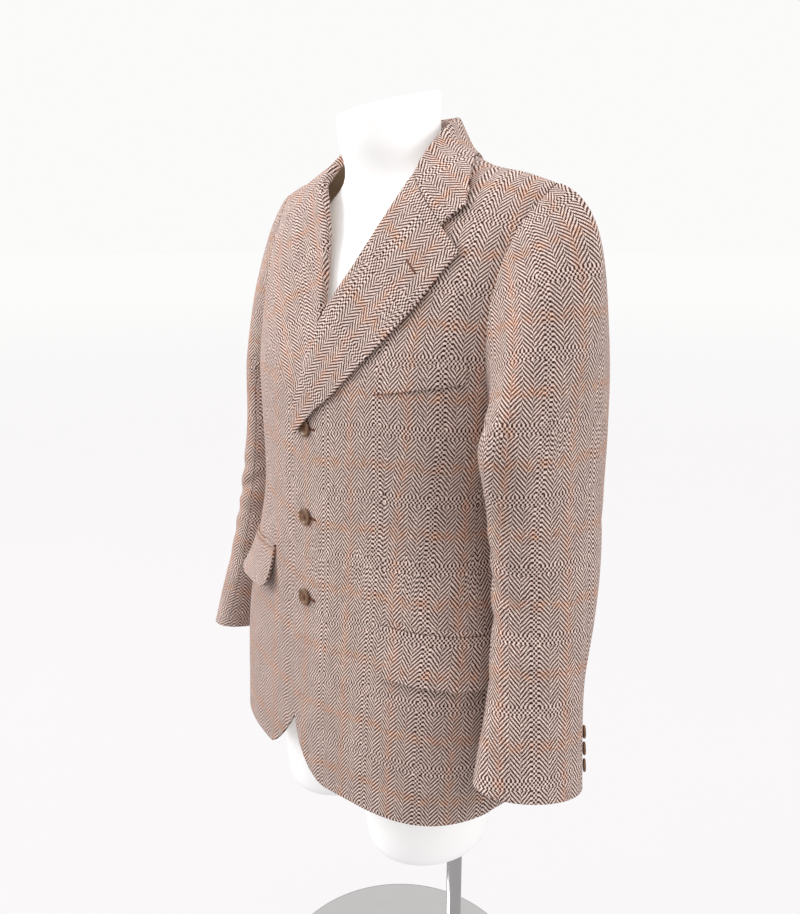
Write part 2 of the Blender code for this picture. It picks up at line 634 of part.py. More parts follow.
def collar_half(side_name):
    """Rows from centre back to gorge; each runs up the stand, over the crest and down the fall.
    The last row follows the lapel's top edge to the notch, and then turns to the collar's tip."""
    steps = np.linspace(0, 1, len(COLLAR_STATIONS))
    table = np.column_stack([steps, COLLAR_STATIONS])
    at = np.linspace(0, 1, COLLAR_ROWS)
    data = np.stack([through(table, at, i) for i in range(1, table.shape[1])], -1)
    foot, crest, middle, edge = data[:, 0:2], data[:, 2:5], data[:, 5:8], data[:, 8:11]
    foot = np.column_stack([foot, top_height(foot[:, 0], foot[:, 1]) + STAND_FOOT_LIFT])
    ahead = unit(np.gradient(crest, axis=0))
    up = crest - middle
    up = unit(up - ahead * np.sum(up * ahead, axis=1, keepdims=True))
    out = unit(np.cross(up, ahead))
    columns = []
    for share in np.linspace(0, 1, STAND_STEPS + 1)[:-1]:
        columns.append(foot + (crest - foot) * share)
    for angle in np.linspace(-math.pi / 2, math.pi / 2, FOLD_STEPS + 1):
        turn = out * (1 + math.sin(angle)) + up * math.cos(angle)
        columns.append(crest + turn * ROLL_RADIUS)
    start = crest + out * 2 * ROLL_RADIUS
    fall = []
    for share in np.linspace(0, 1, FALL_STEPS + 1)[1:]:
        fall.append(start + (middle - start) * share)
    for share in np.linspace(0, 1, FALL_STEPS + 1)[1:]:
        fall.append(middle + (edge - middle) * share)
    fall = rest_on_shoulders(np.stack(fall, axis=1), COLLAR_LIFT)
    rows = np.concatenate([np.stack(columns, axis=1), fall], axis=1)

    roll, free = lapel_lines(side_name, LAPEL_ROWS)
    shares = np.linspace(0, NOTCH_SHARE, FALL_STEPS + 1)[1:]
    gorge = lapel_row(side_name, roll[-1], free[-1], shares, GORGE_GAP)
    down = unit(gorge[0] - gorge[FOLD_STEPS]) * STAND_AT_GORGE
    stand = [gorge[0] + down * (1 - share) for share in np.linspace(0, 1, STAND_STEPS + 1)[:-1]]
    notch = gorge[-1]
    tip = [notch + (np.array(COLLAR_TIP) - notch) * share
           for share in np.linspace(0, 1, FALL_STEPS + 1)[1:]]
    last = np.concatenate([np.array(stand), gorge, np.array(tip)])
    return np.concatenate([rows, last[None]])


def build_collar_and_lapels():
    for side_name, side in (("left", 1), ("right", -1)):
        cloth(f"lapel_{side_name}", lapel_points(side_name), LAPEL_WALL, side, offset=0.0)
    left = collar_half("left")
    right = collar_half("right")[:0:-1] * np.array([-1.0, 1.0, 1.0])
    cloth("collar", np.concatenate([right, left]), LAPEL_WALL, 1, offset=0.0)


# ---------------------------------------------------------------- flaps, jets and welt
FLAP_ROWS = 4
FLAP_COLUMNS = 7
FLAP_START = 0.0006  # gap between a flap's underside and the front it lies on


def patch_points(side_name, shape, rows, columns, stand_off, top=0.0, bottom=1.0):
    """A patch on a front: rows down its depth, columns from its front end to its back end."""
    across, height, drop, length, depth = shape
    grid = []
    for v in np.linspace(top, bottom, rows + 1):
        row = []
        for u in np.linspace(0, 1, columns + 1):
            z = height - drop * u - depth * v
            path, xs, _ = half_ring(min(z, CHEST_Z))
            start = np.interp(across, xs[: len(xs) // 2], path[: len(xs) // 2])
            x = float(low_points(min(z, CHEST_Z), start + length * u)[0])
            lift = FRONT_WALL + FLAP_START + stand_off * max(v, 0) ** 1.5
            if x > 0.9 * through(BODY_SECTIONS, min(z, CHEST_Z), 1) and z < CHEST_Z:
                point = low_points(z, start + length * u)
                ahead = low_points(z, start + length * u + 0.002) - point
                normal = unit(np.array([ahead[1], -ahead[0], 0.0]))
                row.append(point + normal * lift)
            else:
                row.append(place_on_front(side_name, x, z, lift))
        grid.append(row)
    return np.array(grid)[::-1]


def build_pockets():
    for side_name, side in (("left", 1), ("right", -1)):
        *shape, stand_off = FLAPS[side_name]
        flap = patch_points(side_name, shape, FLAP_ROWS, FLAP_COLUMNS, stand_off)
        cloth(f"flap_{side_name}", flap, FLAP_WALL, side)
        jet_share = JET_HEIGHT / shape[4]
        gap_share = 0.0008 / shape[4]
        jet = patch_points(side_name, shape, 1, FLAP_COLUMNS, 0, -jet_share - gap_share, -gap_share)
        cloth(f"jet_{side_name}", jet, JET_WALL, side)
    welt = patch_points("left", WELT, 2, 5, 0)
    cloth("breast_welt", welt, JET_WALL)


# ---------------------------------------------------------------- buttons
# share of the radius, share of the depth: a button's profile from its face down to its back
BUTTON_PROFILE = (
    (0.0, 0.80), (0.88, 0.80), (1.0, 0.55), (1.0, 0.20), (0.90, 0.0), (0.0, 0.0),
)
BUTTON_STEPS = 20


def button(name, radius, depth, centre, normal):
    """A turned button with eased edges, its back face on `centre`, facing along `normal`."""
    profile = bmesh.new()
    verts = [profile.verts.new((radius * r, 0.0, depth * h)) for r, h in BUTTON_PROFILE]
    for upper, lower in zip(verts, verts[1:]):
        profile.edges.new((upper, lower))
    mesh = bpy.data.meshes.new(name)
    profile.to_mesh(mesh)
    profile.free()
    made = add_object(name, mesh, HORN)
    turn = made.modifiers.new("turned", "SCREW")
    turn.steps = BUTTON_STEPS
    turn.render_steps = BUTTON_STEPS
    turn.use_merge_vertices = True
    turn.merge_threshold = 0.0001
    side = unit(np.cross((0.0, 0.0, 1.0), normal))
    up = np.cross(normal, side)
    axes = np.stack([side, up, normal, centre], -1)
    made.matrix_world = Matrix([*axes.tolist(), (0.0, 0.0, 0.0, 1.0)])


BUTTON_SIT = 0.0007


def sleeve_spot(side_name, share, z):
    """A point of a sleeve and its outward normal, by share round the ring and height."""
    rings = SLEEVE_RINGS[side_name]
    table = np.column_stack([-rings[:, 2], rings])
    count = 720

    def at(height, index):
        row = [float(through(table, -height, i)) for i in range(1, table.shape[1])]
        return sleeve_ring(row, count)[index % count]

    index = round(share * count)
    point = at(z, index)
    around = at(z, index + 4) - at(z, index - 4)
    down = at(z - 0.004, index) - at(z + 0.004, index)
    return point, unit(np.cross(around, down))


def build_buttons():
    for k, height in enumerate(BUTTON_HEIGHTS, 1):
        centre = place_on_front("left", 0.0, height, FRONT_WALL + BUTTON_SIT)
        button(f"front_button_{k}", BUTTON_RADIUS, BUTTON_DEPTH, centre, np.array([0.0, -1.0, 0.0]))
    for side_name, side in (("left", 1), ("right", -1)):
        mirror = np.array([side, 1.0, 1.0])
        for k, height in enumerate(CUFF_BUTTON_HEIGHTS, 1):
            point, normal = sleeve_spot(side_name, CUFF_BUTTON_SHARE, height)
            centre = (point + normal * (CLOTH_WALL + BUTTON_SIT)) * mirror
            name = f"cuff_button_{side_name}_{k}"
            button(name, CUFF_BUTTON_RADIUS, CUFF_BUTTON_DEPTH, centre, normal * mirror)


# ---------------------------------------------------------------- dress form
def build_form():
    count = 28
    rows = []
    table = FORM_SECTIONS
    for z, width, front, back in table:
        angle = 2 * math.pi * np.arange(count) / count
        y = np.where(np.cos(angle) > 0, -front, -back) * np.cos(angle)
        slant = NECK_TOP_SLANT * smooth_step(z, 1.15, 1.192)
        rows.append(np.stack([width * np.sin(angle), y, z + slant * y], -1))
    torso = grid_mesh(np.array(rows), closed=True)
    mesh = bmesh.new()
    mesh.from_mesh(torso)
    mesh.verts.ensure_lookup_table()
    mesh.faces.new([mesh.verts[k] for k in range(count)][::-1])
    last = (len(rows) - 1) * count
    mesh.faces.new([mesh.verts[last + k] for k in range(count)])
    bmesh.ops.recalc_face_normals(mesh, faces=mesh.faces)
    mesh.to_mesh(torso)
    mesh.free()
    made = add_object("form_torso", torso, WHITE)
    for side in (1, -1):
        bpy.ops.mesh.primitive_cone_add(
            vertices=28, radius1=1.0, radius2=STUB_FLARE, depth=STUB_HEAD_Z - STUB_FOOT_Z,
            location=(side * STUB_X, STUB_Y, (STUB_HEAD_Z + STUB_FOOT_Z) / 2),
        )
        stub = bpy.context.object
        stub.scale = (STUB_RADII[0], STUB_RADII[1], 1.0)
        stub.hide_render = True
        stub.display_type = "WIRE"
        join = made.modifiers.new("stub", "BOOLEAN")
        join.operation = "UNION"
        join.object = stub
    return made


def build_stand():
    """A round base plate, the pole that the form stands on, and the clamp's knob beside it."""
    top = STUB_FOOT_Z - FIT_GAP
    bottom = BASE_HEIGHT + FIT_GAP
    knob_length = KNOB_REACH - POLE_RADIUS - FIT_GAP
    turn = math.radians(KNOB_TURN)
    out = np.array([math.sin(turn), -math.cos(turn)])
    knob_xy = np.array(POLE_XY) + out * (KNOB_REACH - knob_length / 2)
    # name, sides, radius, length, centre, tilt, turn about the vertical
    rods = (
        ("form_pole", 24, POLE_RADIUS, top - bottom, (*POLE_XY, (top + bottom) / 2), 0, 0),
        ("form_base", 64, BASE_RADIUS, BASE_HEIGHT, (0, 0, BASE_HEIGHT / 2), 0, 0),
        ("form_knob", 24, KNOB_RADIUS, knob_length, (*knob_xy, top - KNOB_DROP), math.pi / 2, turn),
    )
    for name, sides, radius, length, centre, tilt, about in rods:
        bpy.ops.mesh.primitive_cylinder_add(
            vertices=sides, radius=radius, depth=length, location=centre, rotation=(tilt, 0, about)
        )
        made = bpy.context.object
        made.name = name
        made.data.name = name
        for collection in made.users_collection:
            collection.objects.unlink(made)
        JACKET.objects.link(made)
        made.data.materials.append(material(f"chrome_{name}", *CHROME[1:]))
        made.data.shade_smooth()
        made.data.set_sharp_from_angle(angle=math.radians(40))


build_body()
build_sleeves()
build_collar_and_lapels()
build_pockets()
build_buttons()
build_form()
build_stand()
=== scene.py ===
"""Looks of the tweed hacking jacket on its dress form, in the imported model's frame.

+X is the wearer's left, -Y the front, +Z up. Metres. Each cloth piece is the CAD panel of the
same name, worked out again on a finer grid. Its UV map "weave" counts the yarns across and up
the cloth, and one material weaves the tweed from that. A panel is worked out on the left (+X)
and mirrored for the right, so `across` is the distance to the wearer's side of the middle.
"""

import json
import math

import bmesh
import bpy
import numpy as np
from mathutils import Matrix

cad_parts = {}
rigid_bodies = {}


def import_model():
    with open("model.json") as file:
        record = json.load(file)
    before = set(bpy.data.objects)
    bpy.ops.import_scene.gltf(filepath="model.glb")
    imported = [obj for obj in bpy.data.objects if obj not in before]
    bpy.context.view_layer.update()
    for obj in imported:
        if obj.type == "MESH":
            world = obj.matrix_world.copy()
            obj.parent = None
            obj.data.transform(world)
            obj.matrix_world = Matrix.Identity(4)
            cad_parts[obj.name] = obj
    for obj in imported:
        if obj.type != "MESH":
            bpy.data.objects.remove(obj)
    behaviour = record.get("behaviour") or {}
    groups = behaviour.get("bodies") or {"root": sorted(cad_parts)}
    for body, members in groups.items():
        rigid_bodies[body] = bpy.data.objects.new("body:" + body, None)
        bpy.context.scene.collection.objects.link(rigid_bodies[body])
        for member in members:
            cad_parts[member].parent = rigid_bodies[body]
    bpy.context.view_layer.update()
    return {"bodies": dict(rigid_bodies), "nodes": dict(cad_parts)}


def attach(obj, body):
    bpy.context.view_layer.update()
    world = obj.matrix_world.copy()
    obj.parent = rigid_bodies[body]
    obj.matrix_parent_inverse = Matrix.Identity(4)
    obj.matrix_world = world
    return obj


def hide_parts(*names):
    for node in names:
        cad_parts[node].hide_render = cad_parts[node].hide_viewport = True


for old in list(bpy.data.objects):
    bpy.data.objects.remove(old, do_unlink=True)

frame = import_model()
BODY = next(iter(frame["bodies"]))
SIDES = (("left", 1), ("right", -1))  # the name of each side, and which way it lies

# ---------------------------------------------------------------- driving sizes
FRONT_WALL = 0.0030
CLOTH_WALL = 0.0024
LAPEL_WALL = 0.0030
FLAP_WALL = 0.0030
SEAM_GAP = 0.0004
SLEEVE_SEAM_GAP = 0.0002
OVERLAP = 0.020  # how far each front runs past the middle plane
OVERLAP_LIFT = 0.0038  # the left front passes over the right one by this much
OVERLAP_FADE = (0.030, 0.090)  # from the middle, where that lift fades out

CHEST_Z = 0.880
RIDGE_Y = 0.005
CHEST_WIDTH = 0.201
SHOULDER_GAIN = 0.032  # how much wider the shoulder line is than the chest
TOP_POWERS = (1.8, 1.3)  # depth and height powers of the curve from chest to shoulder

BUTTON_RADIUS = 0.0100
BUTTON_DEPTH = 0.0038
CUFF_BUTTON_RADIUS = 0.0070
CUFF_BUTTON_DEPTH = 0.0030
BUTTON_HEIGHTS = (0.8365, 0.7325, 0.6345)
CUFF_BUTTON_HEIGHTS = (0.5470, 0.5310, 0.5150)
CUFF_BUTTON_SHARE = 0.805  # share round the sleeve from its outer side, over the front

# height, half width, front depth, back depth, front power, back power
BODY_SECTIONS = np.array([
    (0.400, 0.220, 0.150, 0.158, 3.2, 3.0),
    (0.540, 0.218, 0.144, 0.148, 3.2, 2.9),
    (0.640, 0.206, 0.137, 0.135, 2.9, 2.6),
    (0.750, 0.188, 0.133, 0.124, 2.5, 2.4),
    (0.840, 0.197, 0.131, 0.131, 2.5, 2.4),
    (CHEST_Z, CHEST_WIDTH, 0.130, 0.136, 2.5, 2.4),
])
# across, height of the shoulder line
SHOULDER_LINE = np.array([
    (0.000, 1.160), (0.050, 1.144), (0.085, 1.131), (0.100, 1.128),
    (0.140, 1.113), (0.190, 1.103), (0.235, 1.091),
])
# share of the way round from centre front to centre back, height of the hem there
HEM_LINE = np.array([(0.0, 0.405), (0.25, 0.414), (0.5, 0.430), (1.0, 0.436)])
HEM_Z = HEM_LINE[0, 1]
HEM_FADE_Z = 0.56  # where the hem's rise no longer lifts the cloth
# share of the rise from chest to shoulder, across of the armhole edge
ARMHOLE_FRONT = np.array([(0.0, 0.195), (0.25, 0.196), (0.5, 0.199), (0.75, 0.208), (1.0, 0.228)])
ARMHOLE_BACK = np.array([(0.0, 0.187), (0.25, 0.188), (0.5, 0.193), (0.75, 0.204), (1.0, 0.228)])
PIT_DROP = 0.022
NECK_ACROSS = 0.084  # where the neck seam meets the shoulder line
NECK_BACK_DEPTH = 0.37  # the same seam at the centre back, as a share of the back's depth

# across, height, set back from the garment surface: the line that each lapel rolls on
ROLL = {"left": np.array([
    (-0.020, 0.838, 0.0), (-0.013, 0.855, 0.0), (-0.003, 0.885, 0.0), (0.007, 0.913, 0.0),
    (0.017, 0.941, 0.0), (0.026, 0.965, 0.0), (0.039, 0.987, 0.0), (0.0525, 1.011, 0.0),
    (0.063, 1.036, 0.0), (0.071, 1.059, 0.0), (0.077, 1.081, 0.0), (0.081, 1.100, 0.0),
]), "right": np.array([
    (-0.020, 0.838, 0.000), (-0.011, 0.868, 0.004), (-0.001, 0.902, 0.009),
    (0.010, 0.935, 0.015), (0.020, 0.965, 0.020), (0.033, 1.010, 0.021),
    (0.047, 1.050, 0.016), (0.065, 1.082, 0.007), (0.081, 1.100, 0.000),
])}
LAPEL_RIGHT_START = 0.918  # where the right lapel comes out from under the left front
ROLL_GAP = 0.0026  # across, from the roll line to the edge of the front's own wall
# across, height: the lapel's free edge from the top button up to its tip
LAPEL_EDGE = np.array([
    (-0.013, 0.828), (0.022, 0.860), (0.052, 0.882), (0.092, 0.924), (0.124, 0.961),
    (0.139, 0.982), (0.153, 1.008), (0.166, 1.029),
])
NOTCH_SHARE = 0.66  # how far along the lapel's top edge the collar's end meets it
GORGE_GAP = 0.0003  # between that edge and the collar
ROLL_RADIUS = 0.0040
LAPEL_LIFT = 0.0065  # middle of the lapel's wall above the garment surface, at its free edge
SET_BACK_REACH = 0.055
SLOPE_STEP = 0.002  # over which slopes of the garment surface are measured

# Collar, half of it, from centre back towards the gorge. Columns: foot of the stand x, y; crest
# x, y, z; middle of the fall x, y, z; free edge x, y, z. The foot's height is the neck seam's.
COLLAR_STATIONS = np.array([
    (0.0000, 0.0510, 0.000, 0.058, 1.166, 0.000, 0.074, 1.140, 0.000, 0.078, 1.112),
    (0.0270, 0.0480, 0.026, 0.053, 1.165, 0.034, 0.069, 1.140, 0.040, 0.073, 1.114),
    (0.0540, 0.0385, 0.050, 0.037, 1.162, 0.062, 0.052, 1.141, 0.075, 0.056, 1.1205),
    (0.0800, 0.0140, 0.066, 0.014, 1.152, 0.083, 0.022, 1.142, 0.100, 0.026, 1.1305),
    (0.0812, -0.0100, 0.075, -0.010, 1.136, 0.098, -0.010, 1.130, 0.126, -0.008, 1.1195),
    (0.0805, -0.0300, 0.079, -0.030, 1.118, 0.115, -0.034, 1.101, 0.146, -0.031, 1.098),
])
COLLAR_TIP = (0.157, -0.048, 1.076)
STAND_AT_GORGE = 0.002
STAND_FOOT_LIFT = 0.0015
LAPEL_END_LIFT = 0.0032  # more than that at the break, where the lapel lies over the top button
LAPEL_END_FADE = (0.846, 0.905)
COLLAR_LIFT = 0.0070  # middle of the collar's wall above the garment surface

# Sleeve rings below the armhole. Columns: centre across, y, z; half width across and along y;
# turn of the oval in degrees; how far its front stands higher than its middle.
SLEEVE_RINGS = {
    "left": np.array([
        (0.2420, -0.012, 0.840, 0.0390, 0.0800, 0.0, 0.000),
        (0.2440, -0.009, 0.770, 0.0390, 0.0700, 3.0, 0.000),
        (0.2520, -0.013, 0.690, 0.0390, 0.0620, 7.0, 0.002),
        (0.2640, -0.036, 0.590, 0.0370, 0.0520, 12.0, 0.006),
        (0.2790, -0.060, 0.493, 0.0340, 0.0600, 17.0, 0.012),
    ]),
    "right": np.array([
        (0.2350, 0.005, 0.840, 0.0315, 0.0730, 0.0, 0.000),
        (0.2380, -0.003, 0.770, 0.0340, 0.0700, 3.0, 0.000),
        (0.2490, -0.016, 0.690, 0.0360, 0.0640, 7.0, 0.002),
        (0.2640, -0.038, 0.590, 0.0360, 0.0560, 12.0, 0.005),
        (0.2790, -0.060, 0.487, 0.0340, 0.0600, 17.0, 0.008),
    ]),
}
SLEEVE_SEAMS = (0.30, 0.70)  # shares round the ring from its outer side, over the front

# Flaps: front end across, its height, drop to the back end, length, depth, how far it stands off
FLAPS = {
    "left": (0.122, 0.6390, 0.007, 0.150, 0.056, 0.004),
    "right": (0.077, 0.6690, 0.010, 0.150, 0.050, 0.012),
}
JET_HEIGHT = 0.005
JET_WALL = 0.0020
WELT = (0.104, 0.911, -0.017, 0.098, 0.024)  # as a flap: across, height, drop, length, depth

# Dress form. Columns: height, half width, front depth, back depth.
FORM_SECTIONS = np.array([
    (0.372, 0.060, 0.060, 0.065), (0.385, 0.120, 0.092, 0.100), (0.420, 0.172, 0.120, 0.128),
    (0.520, 0.192, 0.128, 0.132), (0.640, 0.180, 0.118, 0.118), (0.750, 0.160, 0.108, 0.104),
    (0.860, 0.172, 0.108, 0.112), (0.940, 0.168, 0.090, 0.112), (1.000, 0.158, 0.076, 0.098),
    (1.050, 0.148, 0.056, 0.076), (1.080, 0.120, 0.048, 0.058), (1.100, 0.086, 0.050, 0.045),
    (1.118, 0.066, 0.060, 0.038), (1.140, 0.059, 0.073, 0.035), (1.165, 0.057, 0.077, 0.034),
    (1.192, 0.0565, 0.078, 0.034),
])
NECK_TOP_SLANT = 0.28
STUB_X = 0.088
STUB_Y = -0.026
STUB_RADII = (0.071, 0.082)
STUB_FLARE = 1.10  # radius at the stub's hidden head over that at its foot
STUB_FOOT_Z = 0.314
STUB_HEAD_Z = 0.470
POLE_XY = (0.085, 0.023)
POLE_RADIUS = 0.010
BASE_RADIUS = 0.180
BASE_HEIGHT = 0.008
FIT_GAP = 0.0003
KNOB_RADIUS = 0.0075
KNOB_REACH = 0.024  # from the pole's axis to the knob's outer face
KNOB_TURN = 62.0  # degrees about the pole from straight ahead towards the wearer's left
KNOB_DROP = 0.012

# ---------------------------------------------------------------- the weave
YARN_ACROSS = 0.001034
YARN_UP = 0.001225
REPEAT_ACROSS = 68  # yarns from one dotted line to the next
REPEAT_UP = 60
DOTTED = 8  # yarns in a dotted line or band
RIB = 10  # yarns in one rib of the herringbone
MID_ACROSS = (REPEAT_ACROSS + DOTTED) / 2 - 0.5  # the overcheck's middle yarn, each way
MID_UP = (REPEAT_UP + DOTTED) / 2 - 0.5
LINE_ALONG = 0.1073  # from centre front to the middle of a dotted line
BAND_Z = 0.7045  # height of the middle of a dotted band
FRONT_DROP = 0.013  # how much lower a dotted band hangs at centre front
BACK_LINE = 0.0352  # from centre back to the middle of a dotted line
SIDE_LINE = 0.0  # from the middle of the side body
SLEEVE_LINE = -0.025  # from the sleeve's outer side
SLEEVE_BAND = 0.032  # above the top of the straight part of the sleeve
LAPEL_LINE = 0.060  # in from the lapel's free edge
LAPEL_BAND = 0.075  # down that edge from its tip
COLLAR_LINE = 0.005  # in from the collar's short front edge
COLLAR_BAND = 0.012  # above the middle of that edge
HELD_ACROSS = 0.100  # where the lines keep their place across on their way up to the shoulder
BAND_ACROSS = 0.165  # past this, the bands run level to the armhole
DROP_REACH = 0.12  # from centre front, where FRONT_DROP has faded out

# ---------------------------------------------------------------- materials
def srgb(red, green, blue):
    """A display colour, 0 to 255, as linear RGBA."""
    share = np.array([red, green, blue]) / 255
    linear = np.where(share <= 0.04045, share / 12.92, ((share + 0.055) / 1.055) ** 2.4)
    return (*linear.tolist(), 1.0)


WARM_WHITE = (1.0, 0.995, 0.99, 1.0)
FORM_GLOW = 0.18  # stands for the light that the white studio throws back on the form
TWILL_LINES = 1400.0  # to the metre
# the two ends of each yarn's colour, and rust over pale and over dark
PALE_YARN = (srgb(246, 225, 215), srgb(212, 185, 175))
DARK_YARN = (srgb(54, 32, 30), srgb(92, 61, 56))
RUST_YARN = (srgb(238, 176, 132), srgb(148, 84, 56))
RUST_OVER_PALE = 0.44
RUST_OVER_DARK = 0.36
RUST_REACH = (7.5, 8.0)  # half the width in yarns of the overcheck's bands, and of its lines
RUST_WEAKER = (0.7, 0.6)  # share that the lines keep in the pale yarns, and the bands in the dark
WANDER = 2.4  # how far the yarns stray up the cloth, in yarns, over many yarns and over few
WANDER_FINE = 1.1
WANDER_ACROSS = 0.6  # share of that by which they stray across
CROWN_SHADE = (0.70, 1.04)  # painted shade and highlight: brightness from a yarn's edge, where shade falls between yarns, to its lit crown
YARN_UNEVEN = (-0.13, 0.09)  # added to that, from crossing to crossing and over the cloth
CLOTH_UNEVEN = (-0.05, 0.05)
BUMP_DEPTH = 0.00035


class Graph:
    """Short calls for making a material's nodes. A value is a number, a colour or a socket."""

    def __init__(self, name):
        self.material = bpy.data.materials.new(name)
        self.material.use_nodes = True
        self.tree = self.material.node_tree
        self.shader = self.tree.nodes["Principled BSDF"]

    def feed(self, socket, value):
        if isinstance(value, bpy.types.NodeSocket):
            self.tree.links.new(value, socket)
        else:
            socket.default_value = value

    def node(self, kind, *values, **settings):
        """A new node with its settings made and its first inputs fed."""
        made = self.tree.nodes.new("ShaderNode" + kind)
        for name, setting in settings.items():
            setattr(made, name, setting)
        for socket, value in zip(made.inputs, values):
            self.feed(socket, value)
        return made

    def math(self, operation, *values):
        return self.node("Math", *values, operation=operation).outputs[0]

    def add(self, first, second):
        return self.math("ADD", first, second)

    def minus(self, first, second):
        return self.math("SUBTRACT", first, second)

    def times(self, first, second):
        return self.math("MULTIPLY", first, second)

    def floor(self, value):
        return self.math("FLOOR", value)

    def part(self, value, length):
        """How far into its own stretch of a length a value lies."""
        return self.math("FLOORED_MODULO", value, length)

    def below(self, value, limit):
        return self.math("LESS_THAN", value, limit)

    def choose(self, factor, off, on):
        """off where the factor is 0, on where it is 1."""
        return self.add(self.times(on, factor), self.times(off, self.minus(1.0, factor)))

    def mix(self, factor, first, second, kind="MIX"):
        node = self.node("Mix", factor, data_type="RGBA", blend_type=kind)
        self.feed(node.inputs[6], first)
        self.feed(node.inputs[7], second)
        return node.outputs[2]

    def vector(self, x, y, z=0.0):
        return self.node("CombineXYZ", x, y, z).outputs[0]

    def noise(self, vector, scale, detail=2.0, roughness=0.5):
        node = self.node("TexNoise", vector)
        for name, value in (("Scale", scale), ("Detail", detail), ("Roughness", roughness)):
            node.inputs[name].default_value = value
        return node.outputs["Fac"]

    def place(self):
        return self.node("TexCoord").outputs["Object"]

    def remap(self, *values):
        """A smooth step as a value goes from low to high, to the two numbers after them if given
        and else from 0 to 1."""
        return self.node("MapRange", *values, interpolation_type="SMOOTHSTEP").outputs[0]

    def bump(self, height, distance, strength):
        node = self.node("Bump", strength, distance)
        self.feed(node.inputs["Height"], height)
        self.feed(self.shader.inputs["Normal"], node.outputs[0])

    def finish(self, **settings):
        for name, value in settings.items():
            self.feed(self.shader.inputs[name.replace("_", " ")], value)
        return self.material


def tweed_material():
    """Herringbone of two yarns in ribs, with dotted basket lines both ways and a soft
    rust overcheck midway between them. It counts yarns on the UV map "weave"."""
    g = Graph("tweed")
    at = g.node("UVMap", uv_map="weave").outputs[0]
    wander = g.times(g.minus(g.noise(at, 0.045, 2.0), 0.5), WANDER)
    wander_fine = g.times(g.minus(g.noise(at, 0.40, 1.0), 0.5), WANDER_FINE)
    parts = g.node("SeparateXYZ", at)
    shift = g.add(wander, wander_fine)
    u = g.add(parts.outputs[0], g.times(shift, WANDER_ACROSS))
    v = g.add(parts.outputs[1], shift)
    i, j = g.floor(u), g.floor(v)
    k, m = g.part(i, REPEAT_ACROSS), g.part(j, REPEAT_UP)
    dotted = g.math("MAXIMUM", g.below(k, DOTTED), g.below(m, DOTTED))
    from_dots = g.minus(k, DOTTED)
    falling = g.math("GREATER_THAN", g.part(from_dots, 2.0 * RIB), RIB - 0.5)
    rise = g.add(g.math("PINGPONG", from_dots, RIB), falling)
    twill = g.below(g.part(g.add(j, rise), 4.0), 2.0)
    basket = g.part(g.add(g.floor(g.times(i, 0.5)), g.floor(g.times(j, 0.5))), 2.0)
    light_up = g.add(g.times(twill, g.minus(1.0, dotted)), g.times(basket, dotted))

    fleck = g.noise(g.vector(g.times(u, 0.30), g.times(v, 0.85)), 1.0, 2.0)
    cloud = g.noise(at, 0.035, 3.0, 0.6)
    patchy = g.remap(g.noise(at, 0.11, 2.0), 0.36, 0.62, 0.12, 1.0)
    across = g.remap(g.math("ABSOLUTE", g.minus(m, MID_UP)), 1.0, RUST_REACH[0], 1.0, 0.0)
    along = g.remap(g.math("ABSOLUTE", g.minus(k, MID_ACROSS)), 1.0, RUST_REACH[1], 1.0, 0.0)
    across, along = g.times(across, patchy), g.times(along, patchy)

    pale = g.mix(g.remap(fleck, 0.35, 0.70), *PALE_YARN)
    rust = g.math("MAXIMUM", across, g.times(along, RUST_WEAKER[0]))
    pale = g.mix(g.times(rust, RUST_OVER_PALE), pale, RUST_YARN[0])
    dark = g.mix(g.remap(fleck, 0.35, 0.68), *DARK_YARN)
    rust = g.math("MAXIMUM", along, g.times(across, RUST_WEAKER[1]))
    dark = g.mix(g.times(rust, RUST_OVER_DARK), dark, RUST_YARN[1])
    colour = g.mix(light_up, dark, pale)

    side_of_yarn = g.choose(light_up, g.math("FRACT", v), g.math("FRACT", u))
    off_middle = g.minus(g.times(side_of_yarn, 2.0), 1.0)
    crown = g.minus(1.0, g.times(off_middle, off_middle))
    speck = g.node("TexWhiteNoise", g.vector(i, j), noise_dimensions="2D")
    uneven = g.add(g.remap(speck.outputs["Value"], 0.0, 1.0, *YARN_UNEVEN),
                   g.remap(cloud, 0.3, 0.7, *CLOTH_UNEVEN))
    # painted shade and highlight: each yarn is darkened towards its edges and lightened on its
    # crown, with random tone added from crossing to crossing and over the cloth
    shade = g.add(g.remap(crown, 0.0, 0.8, *CROWN_SHADE), uneven)
    colour = g.mix(1.0, colour, g.vector(shade, shade, shade), "MULTIPLY")
    fibre = g.noise(at, 2.6, 2.0, 0.7)
    g.bump(g.add(g.times(crown, 0.7), g.times(fibre, 0.5)), BUMP_DEPTH, 0.5)
    return g.finish(
        Base_Color=colour, Roughness=g.remap(fibre, 0.3, 0.7, 0.86, 1.0), Sheen_Weight=0.10,
        Sheen_Roughness=0.35, Sheen_Tint=srgb(255, 226, 222), Specular_IOR_Level=0.15)


def lining_material():
    """Satin twill: a fine diagonal sheen on a beige ground."""
    g = Graph("lining")
    at = g.place()
    parts = g.node("SeparateXYZ", at)
    slant = g.add(g.add(parts.outputs[0], parts.outputs[1]), parts.outputs[2])
    line = g.math("FRACT", g.times(slant, TWILL_LINES))
    soft = g.noise(at, 22.0, 3.0)
    colour = g.mix(g.remap(soft, 0.3, 0.7), srgb(196, 172, 146), srgb(210, 188, 164))
    colour = g.mix(g.times(line, 0.12), colour, srgb(150, 126, 102))
    g.bump(line, 0.0001, 0.2)
    return g.finish(Base_Color=colour, Roughness=g.remap(soft, 0.3, 0.7, 0.38, 0.5))


